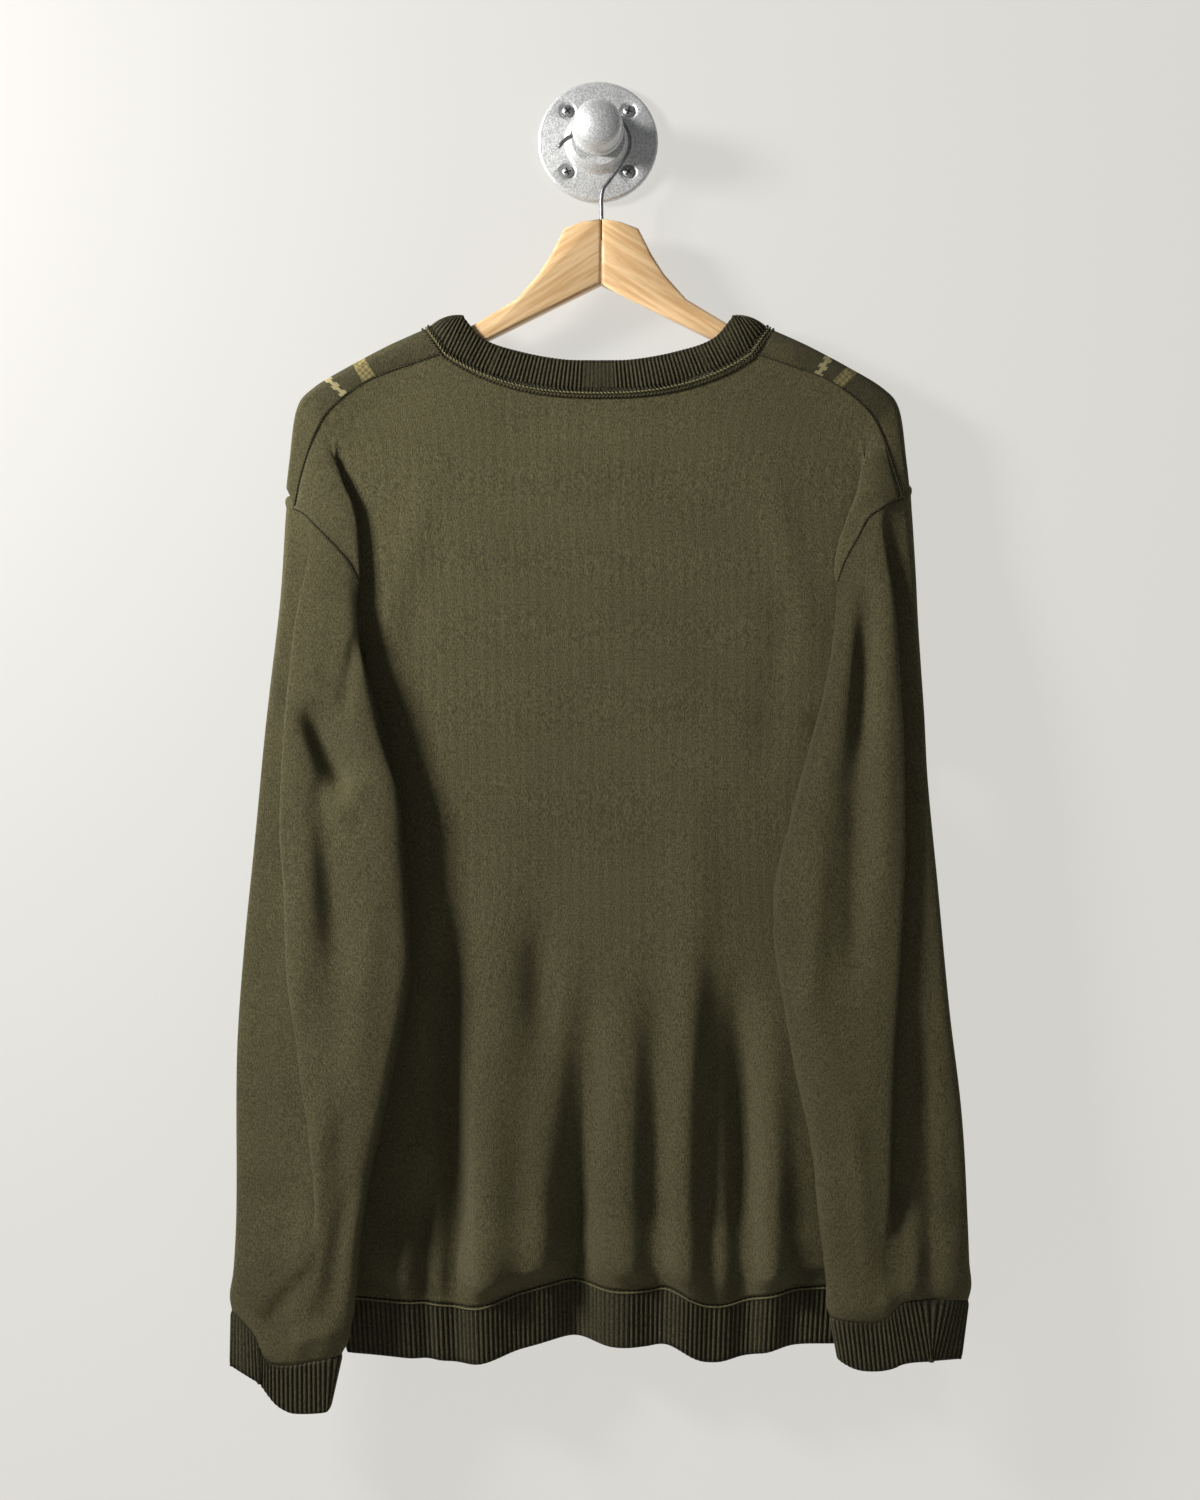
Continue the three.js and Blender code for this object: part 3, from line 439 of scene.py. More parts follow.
def front_wrap(end: np.ndarray, place: float) -> np.ndarray:
    """The last controls of a front row: over the shoulder, or round to the armhole or side seam."""
    if place < 1:
        edge = [*SHOULDER_EDGE, [227, -262]]
        at_place = place * (len(edge) - 1)
        x, z = [float(at([[i, p[axis]] for i, p in enumerate(edge)], at_place)) for axis in (0, 1)]
        turn = ease(0.8, 1, place)
        return np.array([
            [mix(mix(x, end[0], 0.9), end[0] - 13, turn), mix(mix(z, end[1], 1.1), end[1] + 13, turn), 14],
            [x, z, 17], [x, z, 36.5],
            [mix(x, end[0], 0.5), mix(z, end[1], 0.5), 39],
        ])
    below = ease(-330, UNDERARM_Z, end[1])
    rows = []
    for k in range(4):
        offset = [float(at([[d, ends[k][axis]] for d, ends in FRONT_WRAP.items()], end[2]))
                  for axis in range(3)]
        dx, dz, depth = mix(np.array(offset), np.array(WRAP_SIDE[k], float), below)
        rows.append([end[0] + dx, end[1] + dz, depth])
    return np.array(rows)


def front_half(sleeve: SleeveSizes, end: np.ndarray, place: float, middle_z: float) -> np.ndarray:
    """Half a row of the front, from the middle over the flat to its seam."""
    depth = float(at(FRONT_DEPTH, end[1]))
    neck = np.array([[113, -175, 14.5], [121, -150, 15.5], [124.5, -140.5, 29], [119, -148, 36]])
    outer = front_wrap(end, place)
    outer = mix(neck, outer, ease(0, 0.2, place))
    t = np.array([0, 0.4, 0.76])
    flat = np.stack([outer[0, 0] * t, middle_z + (outer[0, 1] - middle_z) * t ** 2.2,
                     np.full(3, depth)], axis=1)
    half = np.concatenate([flat, outer, [end]])
    half[:, 0] *= sleeve.side.value
    return half


def dress(points: np.ndarray, folds: list[Fold], towards_room: int) -> np.ndarray:
    """Adds the folds, the blousing over the rib and the swing of the bottom edge.

    Args:
        points: Points of the panel.
        folds: The panel's own folds.
        towards_room: 1 on the back panel, -1 on the front.

    Returns:
        The moved points.
    """
    x, z = points[..., 0], points[..., 1]
    middle = 1 - ease(135, 175, np.abs(x))
    above_rib = 1 - ease(-826, RIB_TOP_Z, z)
    blouse = 5 * ease(-780, -822, z) * above_rib * middle
    swing = at(HEM_WAVE, x) * ease(-740, RIB_TOP_Z, z)
    rise = np.zeros_like(x)
    for fold in folds:
        rise += at(fold.rise, z) * np.exp(-(((x - at(fold.path, z)) / fold.width) ** 2))
    rise *= FOLD_GAIN * mix(0.45, 1, above_rib) * middle
    out = towards_room * (rise + blouse) - 0.55 * swing * middle
    return np.stack([x, z + 0.7 * swing, points[..., 2] + out], axis=-1)


def full_row(left: np.ndarray, right: np.ndarray, counts: list[int]) -> np.ndarray:
    """Joins two half rows and draws the smooth line through them."""
    controls = np.concatenate([left[:0:-1], right])
    return blend(controls, [*counts[:0:-1], *counts], False)


@dataclass
class Surface:
    """A grid of points: rows down, columns left to right as seen from outside."""

    points: np.ndarray
    ring: bool

    def outward(self) -> np.ndarray:
        """Unit directions out of the cloth."""
        grid = self.points
        if self.ring:
            across = np.roll(grid, -1, axis=1) - np.roll(grid, 1, axis=1)
        else:
            across = np.gradient(grid, axis=1)
        down = np.gradient(grid, axis=0)
        normal = np.cross(down, across)
        return normal / np.maximum(np.linalg.norm(normal, axis=2, keepdims=True), 1e-9)

    def area(self) -> float:
        """Area of one face of the cloth in square metres."""
        grid = np.concatenate([self.points, self.points[:, :1]], axis=1) if self.ring else self.points
        across, down = np.diff(grid, axis=1)[:-1], np.diff(grid, axis=0)[:, :-1]
        return float(np.linalg.norm(np.cross(across, down), axis=2).sum()) * 1e-6

    def raised(self, height: np.ndarray) -> "Surface":
        """The surface moved outwards by a height for each point."""
        return Surface(self.points + self.outward() * height[..., None], self.ring)


def placed(points: np.ndarray) -> np.ndarray:
    """Turns [x, height, depth] into x, y, z."""
    return np.stack([points[..., 0], -points[..., 2], points[..., 1]], axis=-1)


def crease_rise(points: np.ndarray) -> np.ndarray:
    """How far the listed creases raise each point."""
    x, z = points[..., 0], points[..., 2]
    rise = np.zeros_like(x)
    for crease in CREASES:
        start, end = np.array(crease.start), np.array(crease.end)
        line = end - start
        t = np.clip(((x - start[0]) * line[0] + (z - start[1]) * line[1]) / (line @ line), -0.2, 1.2)
        away = np.hypot(x - start[0] - t * line[0], z - start[1] - t * line[1]) / crease.width
        fade = ease(-0.2, 0.25, t) * (1 - ease(0.75, 1.2, t))
        rise += CREASE_GAIN * crease.rise * fade * np.exp(-away * away)
    return rise


# ---- Shader and geometry node groups -----------------------------------------------------------


@dataclass
class Nodes:
    """A small helper that adds and joins nodes in one tree."""

    tree: bpy.types.NodeTree

    def add(self, kind: str, **settings: object) -> bpy.types.Node:
        """Adds a node and sets its properties."""
        node = self.tree.nodes.new(kind)
        for name, value in settings.items():
            setattr(node, name, value)
        return node

    def put(self, node: bpy.types.Node, name: str | int, value: object) -> None:
        """Links a socket to an input, or sets the input's own value."""
        socket = node.inputs[name]
        if isinstance(value, bpy.types.NodeSocket):
            self.tree.links.new(value, socket)
        else:
            socket.default_value = value

    def math(self, operation: str, *values: object) -> bpy.types.NodeSocket:
        """A math node's result."""
        node = self.add("ShaderNodeMath", operation=operation)
        for i, value in enumerate(values):
            self.put(node, i, value)
        return node.outputs[0]

    def mix(self, factor: object, first: object, second: object, blend: str = "MIX") -> bpy.types.NodeSocket:
        """Two colours mixed by a factor."""
        node = self.add("ShaderNodeMix", data_type="RGBA", blend_type=blend)
        for i, value in ((0, factor), (6, first), (7, second)):
            self.put(node, i, value)
        return node.outputs[2]

    def noise(self, vector: object, scale: float, detail: float = 3.0) -> bpy.types.NodeSocket:
        """A noise value from 0 to 1."""
        node = self.add("ShaderNodeTexNoise")
        self.put(node, "Vector", vector)
        self.put(node, "Scale", scale)
        self.put(node, "Detail", detail)
        return node.outputs["Fac"]

    def ramp(self, value: object, low: float, high: float) -> bpy.types.NodeSocket:
        """A value stretched so that low gives 0 and high gives 1."""
        node = self.add("ShaderNodeMapRange", interpolation_type="SMOOTHSTEP")
        for name, setting in (("Value", value), ("From Min", low), ("From Max", high)):
            self.put(node, name, setting)
        return node.outputs[0]


def shader_group(name: str, inputs: list[tuple[str, str, object]], outputs: list[str]) -> tuple[Nodes, dict]:
    """Makes a shader node group.

    Args:
        name: The group's name.
        inputs: Name, socket type and value of each input.
        outputs: Names of the outputs, each a value.

    Returns:
        The helper for the group's tree, and its input sockets by name with the output node.
    """
    tree = bpy.data.node_groups.new(name, "ShaderNodeTree")
    for label, kind, value in inputs:
        socket = tree.interface.new_socket(label, in_out="INPUT", socket_type=kind)
        if value is not None:
            socket.default_value = value
    for label in outputs:
        tree.interface.new_socket(label, in_out="OUTPUT", socket_type="NodeSocketFloat")
    nodes = Nodes(tree)
    source = nodes.add("NodeGroupInput")
    sockets = {label: source.outputs[label] for label, _, _ in inputs}
    sockets["out"] = nodes.add("NodeGroupOutput")
    return nodes, sockets


def knit_group() -> bpy.types.NodeTree:
    """Columns of small V stitches, from a UV map in metres."""
    nodes, io = shader_group(
        "knit",
        [("UV", "NodeSocketVector", None), ("Wale", "NodeSocketFloat", 0.0016),
         ("Course", "NodeSocketFloat", 0.0013)],
        ["Height"],
    )
    split = nodes.add("ShaderNodeSeparateXYZ")
    nodes.put(split, 0, io["UV"])
    wobble = nodes.math("MULTIPLY", nodes.noise(io["UV"], 300.0, 1.0), 0.0009)
    swayed = nodes.math("ADD", split.outputs[0], wobble)
    across = nodes.math("FRACT", nodes.math("DIVIDE", swayed, io["Wale"]))
    edge = nodes.math("MULTIPLY", nodes.math("ABSOLUTE", nodes.math("SUBTRACT", across, 0.5)), 2.0)
    along = nodes.math("SUBTRACT", nodes.math("DIVIDE", split.outputs[1], io["Course"]), edge)
    leg = nodes.math("COSINE", nodes.math("MULTIPLY", along, 2 * math.pi))
    body = nodes.math("SINE", nodes.math("MULTIPLY", edge, math.pi))
    height = nodes.math("MULTIPLY_ADD", leg, 0.1, nodes.math("MULTIPLY", body, 0.75))
    nodes.put(io["out"], 0, nodes.math("ADD", height, 0.1))
    return nodes.tree


def heather_group() -> bpy.types.NodeTree:
    """Mixed fibre tones: fine flecks, slow patches and thin worn spots."""
    nodes, io = shader_group("heather", [("Place", "NodeSocketVector", None)], ["Fleck", "Patch", "Worn"])
    stretch = nodes.add("ShaderNodeVectorMath", operation="MULTIPLY")
    nodes.put(stretch, 0, io["Place"])
    stretch.inputs[1].default_value = (1.0, 1.0, 0.55)
    nodes.put(io["out"], 0, nodes.ramp(nodes.noise(stretch.outputs[0], 1100.0, 2.0), 0.25, 0.75))
    nodes.put(io["out"], 1, nodes.ramp(nodes.noise(io["Place"], 17.0, 4.0), 0.3, 0.72))
    nodes.put(io["out"], 2, nodes.ramp(nodes.noise(io["Place"], 95.0, 5.0), 0.6, 0.78))
    return nodes.tree


def pattern_group() -> bpy.types.NodeTree:
    """The ends of the knitted blocks that run over each shoulder, by place on the object."""
    nodes, io = shader_group("shoulder_pattern", [("Place", "NodeSocketVector", None)], ["Zigzag", "Block"])
    split = nodes.add("ShaderNodeSeparateXYZ")
    nodes.put(split, 0, io["Place"])
    x, y, z = split.outputs
    above = nodes.math("GREATER_THAN", z, -0.236)
    room_side = nodes.math("LESS_THAN", y, -0.028)

    def band(middle: float, half: float, sway: float, top: float, slope: float) -> bpy.types.NodeSocket:
        """1 within half a width of a line that steps from side to side.

        Args:
            middle: Where the line crosses the shoulder's edge.
            half: Half its width.
            sway: How far it steps sideways, in metres.
            top: Height of the shoulder's edge there.
            slope: How much the line leans on the side towards the room.

        Returns:
            The mask.
        """
        wave = nodes.math("GREATER_THAN", nodes.math("PINGPONG", nodes.math("ADD", z, 1.0), 0.0028), 0.0014)
        lean = nodes.math("MULTIPLY", nodes.math("SUBTRACT", z, top), slope)
        path = nodes.math("MULTIPLY_ADD", wave, sway, middle)
        path = nodes.math("MULTIPLY_ADD", lean, room_side, path)
        away = nodes.math("ABSOLUTE", nodes.math("SUBTRACT", x, path))
        return nodes.math("LESS_THAN", away, half)

    zigzag = nodes.math("MAXIMUM", band(-0.1978, 0.0027, 0.0022, -0.18, -1.0),
                        band(0.1676, 0.0027, 0.0022, -0.163, 0.6))
    block = nodes.math("MAXIMUM", band(-0.1735, 0.0058, 0.0, -0.168, -0.57),
                       band(0.1877, 0.0058, 0.0, -0.171, 1.0))
    checks = nodes.add("ShaderNodeTexChecker")
    nodes.put(checks, "Vector", io["Place"])
    nodes.put(checks, "Scale", 420.0)
    speckle = nodes.math("MULTIPLY_ADD", checks.outputs["Fac"], 0.6, 0.4)
    nodes.put(io["out"], 0, nodes.math("MULTIPLY", zigzag, above))
    nodes.put(io["out"], 1, nodes.math("MULTIPLY", nodes.math("MULTIPLY", block, above), speckle))
    return nodes.tree


def stitch_tree() -> bpy.types.NodeTree:
    """Geometry Nodes: small yarn loops set along a line of edges."""
    tree = bpy.data.node_groups.new("stitches", "GeometryNodeTree")
    new = tree.interface.new_socket
    new("Geometry", in_out="INPUT", socket_type="NodeSocketGeometry")
    for label, value in (("Spacing", 0.003), ("Length", 0.0028), ("Width", 0.0011), ("Tilt", 0.0)):
        new(label, in_out="INPUT", socket_type="NodeSocketFloat").default_value = value
    new("Seed", in_out="INPUT", socket_type="NodeSocketInt").default_value = 7
    new("Material", in_out="INPUT", socket_type="NodeSocketMaterial")
    new("Geometry", in_out="OUTPUT", socket_type="NodeSocketGeometry")
    nodes = Nodes(tree)
    source, sink = nodes.add("NodeGroupInput"), nodes.add("NodeGroupOutput")
    line = nodes.add("GeometryNodeMeshToCurve")
    nodes.put(line, 0, source.outputs["Geometry"])
    even = nodes.add("GeometryNodeResampleCurve", mode="LENGTH")
    nodes.put(even, "Curve", line.outputs[0])
    nodes.put(even, "Length", source.outputs["Spacing"])
    tangent = nodes.add("GeometryNodeInputTangent")
    turn = nodes.add("FunctionNodeAlignEulerToVector", axis="X")
    nodes.put(turn, "Vector", tangent.outputs[0])
    lean = nodes.add("FunctionNodeRandomValue", data_type="FLOAT")
    nodes.put(lean, "Min", -0.12)
    nodes.put(lean, "Max", 0.12)
    nodes.put(lean, "Seed", source.outputs["Seed"])
    tilt = nodes.math("ADD", source.outputs["Tilt"], lean.outputs[1])
    axes = nodes.add("ShaderNodeCombineXYZ")
    nodes.put(axes, 1, tilt)
    rotate = nodes.add("FunctionNodeRotateEuler", space="LOCAL")
    nodes.put(rotate, "Rotation", turn.outputs[0])
    nodes.put(rotate, "Rotate By", axes.outputs[0])
    bead = nodes.add("GeometryNodeMeshUVSphere")
    nodes.put(bead, "Segments", 8)
    nodes.put(bead, "Rings", 6)
    nodes.put(bead, "Radius", 0.5)
    size = nodes.add("ShaderNodeCombineXYZ")
    nodes.put(size, 0, source.outputs["Length"])
    nodes.put(size, 1, source.outputs["Width"])
    nodes.put(size, 2, source.outputs["Width"])
    spots = nodes.add("GeometryNodeInstanceOnPoints")
    for label, value in (("Points", even.outputs[0]), ("Instance", bead.outputs[0]),
                         ("Rotation", rotate.outputs[0]), ("Scale", size.outputs[0])):
        nodes.put(spots, label, value)
    real = nodes.add("GeometryNodeRealizeInstances")
    nodes.put(real, 0, spots.outputs[0])
    smooth = nodes.add("GeometryNodeSetShadeSmooth")
    nodes.put(smooth, 0, real.outputs[0])
    coat = nodes.add("GeometryNodeSetMaterial")
    nodes.put(coat, "Geometry", smooth.outputs[0])
    nodes.put(coat, "Material", source.outputs["Material"])
    nodes.put(sink, 0, coat.outputs[0])
    return tree


# ---- Finishes ----------------------------------------------------------------------------------

Colour = tuple[float, float, float, float]


@dataclass(frozen=True)
class Wool:
    """Heathered wool: dark and light fibre, and the knit's size."""

    name: str
    dark: Colour
    light: Colour
    wale: float = 0.0016
    course: float = 0.0013
    bump: float = 0.0011
    pattern: bool = False
    # Whether the hollows between the ribs get painted shade.
    shade_rib_grooves: bool = False

    def material(self, groups: dict[str, bpy.types.NodeTree]) -> bpy.types.Material:
        """Builds the material from the shared groups."""
        material = bpy.data.materials.new(self.name)
        material.use_nodes = True
        nodes = Nodes(material.node_tree)
        shader = material.node_tree.nodes["Principled BSDF"]
        place = nodes.add("ShaderNodeTexCoord").outputs["Object"]
        uv = nodes.add("ShaderNodeUVMap", uv_map="cloth").outputs[0]
        heather = nodes.add("ShaderNodeGroup", node_tree=groups["heather"])
        nodes.put(heather, 0, place)
        knit = nodes.add("ShaderNodeGroup", node_tree=groups["knit"])
        nodes.put(knit, "UV", uv)
        nodes.put(knit, "Wale", self.wale)
        nodes.put(knit, "Course", self.course)
        colour = nodes.mix(heather.outputs["Fleck"], self.dark, self.light)
        if self.pattern:
            marks = nodes.add("ShaderNodeGroup", node_tree=groups["pattern"])
            nodes.put(marks, 0, place)
            colour = nodes.mix(marks.outputs["Block"], colour, (0.8, 0.66, 0.27, 1))
            colour = nodes.mix(marks.outputs["Zigzag"], colour, (0.98, 0.84, 0.44, 1))
        colour = nodes.mix(nodes.math("MULTIPLY", heather.outputs["Patch"], 0.2), colour,
                           (0.5, 0.5, 0.46, 1), "MULTIPLY")
        colour = nodes.mix(nodes.math("MULTIPLY", heather.outputs["Worn"], 0.1), colour, (0.3, 0.28, 0.2, 1))
        # Painted shade: the colour darkens where the knit is low, most in the gaps between the stitch
        # columns.
        stitch_gap_shade = nodes.math("MULTIPLY_ADD", knit.outputs[0], 1.3, 0.08)
        stitch_gap_shade = nodes.math("MINIMUM", stitch_gap_shade, 1.0)
        colour = nodes.mix(1.0, colour, stitch_gap_shade, "MULTIPLY")
        # Painted shade: the hollows between the ribs are darkened, and the rib ridges lightened a little.
        if self.shade_rib_grooves:
            crest_shade = nodes.add("ShaderNodeAttribute", attribute_name="crest_shade").outputs["Fac"]
            colour = nodes.mix(1.0, colour, nodes.math("MULTIPLY_ADD", crest_shade, 0.85, 0.25), "MULTIPLY")
        relief = nodes.math("MULTIPLY_ADD", heather.outputs["Fleck"], 0.35, knit.outputs[0])
        bump = nodes.add("ShaderNodeBump")
        nodes.put(bump, "Strength", 0.9)
        nodes.put(bump, "Distance", self.bump)
        nodes.put(bump, "Height", relief)
        nodes.put(shader, "Base Color", colour)
        nodes.put(shader, "Normal", bump.outputs[0])
        nodes.put(shader, "Roughness", 0.95)
        nodes.put(shader, "Specular IOR Level", 0.12)
        nodes.put(shader, "Sheen Weight", 0.1)
        nodes.put(shader, "Sheen Roughness", 0.55)
        nodes.put(shader, "Sheen Tint", (0.62, 0.58, 0.42, 1))
        return material


@dataclass(frozen=True)
class Varnished:
    """Pale varnished wood with its grain along one direction."""

    name: str
    turn: float

    def material(self) -> bpy.types.Material:
        """Builds the wood material."""
        material = bpy.data.materials.new(self.name)
        material.use_nodes = True
        nodes = Nodes(material.node_tree)
        shader = material.node_tree.nodes["Principled BSDF"]
        turned = nodes.add("ShaderNodeMapping", vector_type="TEXTURE")
        nodes.put(turned, "Vector", nodes.add("ShaderNodeTexCoord").outputs["Object"])
        turned.inputs["Rotation"].default_value = (0, self.turn, 0)
        turned.inputs["Scale"].default_value = (0.16, 0.009, 0.009)
        grain = nodes.noise(turned.outputs[0], 3.2, 6.0)
        pores = nodes.ramp(nodes.noise(turned.outputs[0], 17.0, 3.0), 0.58, 0.72)
        colour = nodes.mix(nodes.ramp(grain, 0.3, 0.7), (0.86, 0.6, 0.33, 1), (0.66, 0.4, 0.18, 1))
        colour = nodes.mix(nodes.math("MULTIPLY", pores, 0.35), colour, (0.36, 0.2, 0.08, 1))
        bump = nodes.add("ShaderNodeBump")
        nodes.put(bump, "Strength", 0.25)
        nodes.put(bump, "Distance", 0.0003)
        nodes.put(bump, "Height", grain)
        nodes.put(shader, "Base Color", colour)
        nodes.put(shader, "Roughness", nodes.math("MULTIPLY_ADD", grain, 0.25, 0.3))
        nodes.put(shader, "Normal", bump.outputs[0])
        nodes.put(shader, "Coat Weight", 0.25)
        return material


@dataclass(frozen=True)
class Metal:
    """Metal with mottled tone and fine grain."""

    name: str
    bright: Colour
    dull: Colour
    roughness: float
    metallic: float
    grain: float = 900.0
    relief: float = 0.00015

    def material(self) -> bpy.types.Material:
        """Builds the metal material."""
        material = bpy.data.materials.new(self.name)
        material.use_nodes = True
        nodes = Nodes(material.node_tree)
        shader = material.node_tree.nodes["Principled BSDF"]
        place = nodes.add("ShaderNodeTexCoord").outputs["Object"]
        fine = nodes.ramp(nodes.noise(place, self.grain, 4.0), 0.34, 0.68)
        slow = nodes.noise(place, 70.0, 3.0)
        colour = nodes.mix(fine, self.bright, self.dull)
        colour = nodes.mix(nodes.math("MULTIPLY", slow, 0.3), colour, self.dull)
        bump = nodes.add("ShaderNodeBump")
        nodes.put(bump, "Strength", 0.5)
        nodes.put(bump, "Distance", self.relief)
        nodes.put(bump, "Height", fine)
        nodes.put(shader, "Base Color", colour)
        nodes.put(shader, "Metallic", self.metallic)
        nodes.put(shader, "Roughness", nodes.math("MULTIPLY_ADD", slow, 0.2, self.roughness))
        nodes.put(shader, "Normal", bump.outputs[0])
        return material


def plain_material(name: str, colour: Colour, roughness: float, one_sided: bool = False,
                   glow: float = 0.0) -> bpy.types.Material:
    """A plain material, clear from behind when one_sided.

    Args:
        name: The material's name.
        colour: Its base colour.
        roughness: Its roughness.
        one_sided: Whether its back is clear.
        glow: Strength of its own light, which also evens out what falls on it.

    Returns:
        The material.
    """
    material = bpy.data.materials.new(name)
    material.use_nodes = True
    nodes = Nodes(material.node_tree)
    shader = material.node_tree.nodes["Principled BSDF"]
    kept = 1 - 1.15 * glow
    nodes.put(shader, "Base Color", (*[part * kept for part in colour[:3]], 1))
    nodes.put(shader, "Roughness", roughness)
    nodes.put(shader, "Emission Color", colour)
    nodes.put(shader, "Emission Strength", glow)
    if one_sided:
        clear = nodes.add("ShaderNodeBsdfTransparent")
        choice = nodes.add("ShaderNodeMixShader")
        nodes.put(choice, 0, nodes.add("ShaderNodeNewGeometry").outputs["Backfacing"])
        nodes.put(choice, 1, shader.outputs[0])
        nodes.put(choice, 2, clear.outputs[0])
        nodes.put(material.node_tree.nodes["Material Output"], "Surface", choice.outputs[0])
    return material


# ---- Meshes ------------------------------------------------------------------------------------


def mesh_object(name: str, vertices: np.ndarray, faces: list, edges: list = ()) -> bpy.types.Object:
    """Makes a linked object from points in metres."""
    mesh = bpy.data.meshes.new(name)
    mesh.from_pydata([tuple(map(float, v)) for v in vertices], list(edges), faces)
    mesh.update()
    thing = bpy.data.objects.new(name, mesh)
    bpy.context.scene.collection.objects.link(thing)
    return thing


def cloth_object(name: str, surface: Surface, thickness: float) -> bpy.types.Object:
    """Makes a cloth piece with its UV map in metres and its thickness inwards."""
    rows, columns = surface.points.shape[:2]
    index = np.arange(rows * columns).reshape(rows, columns)
    spans = columns if surface.ring else columns - 1
    a = index[:-1, :spans]
    b = index[1:, :spans]
    c = np.roll(index, -1, axis=1)[1:, :spans]
    d = np.roll(index, -1, axis=1)[:-1, :spans]
    faces = np.stack([a, b, c, d], axis=-1).reshape(-1, 4)
    thing = mesh_object(name, surface.points.reshape(-1, 3) * MM, faces.tolist())
    wrapped = np.concatenate([surface.points, surface.points[:, :1]], axis=1)
    across = np.cumsum(np.linalg.norm(np.diff(wrapped, axis=1), axis=2), axis=1)
    u = np.concatenate([np.zeros((rows, 1)), across], axis=1)
    u -= u[:, columns // 2][:, None]
    down = np.linalg.norm(np.diff(surface.points, axis=0), axis=2)
    v = np.concatenate([np.zeros((1, columns)), np.cumsum(down, axis=0)], axis=0)
    v = np.concatenate([v, v[:, :1]], axis=1)
    r, k = np.meshgrid(np.arange(rows - 1), np.arange(spans), indexing="ij")
    corner_rows = np.stack([r, r + 1, r + 1, r], axis=-1).ravel()
    corner_columns = np.stack([k, k, k + 1, k + 1], axis=-1).ravel()
    uv = np.stack([u[corner_rows, corner_columns], -v[corner_rows, corner_columns]], axis=1) * MM
    layer = thing.data.uv_layers.new(name="cloth")
    layer.data.foreach_set("uv", uv.ravel().astype(np.float32))
    thing.data.shade_smooth()
    wall = thing.modifiers.new("wall", "SOLIDIFY")
    wall.thickness = thickness * MM
    wall.offset = -1
    wall.use_even_offset = False
    return thing


def finish_piece(thing: bpy.types.Object, material: bpy.types.Material, slot: str, *nodes: str) -> None:
    """Gives a piece its material and body, and hides the CAD nodes that it stands for."""
    if material is not None:
        thing.data.materials.clear()
        thing.data.materials.append(material)
    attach(thing, "root")
    if nodes:
        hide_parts(*nodes)
    log.info("%s: %d faces", thing.name, len(thing.data.polygons))


# ---- The object --------------------------------------------------------------------------------

ARMHOLE_BACK = list(range(1, 11))
ARMHOLE_FRONT = [0, 14, 13, 12, 11]


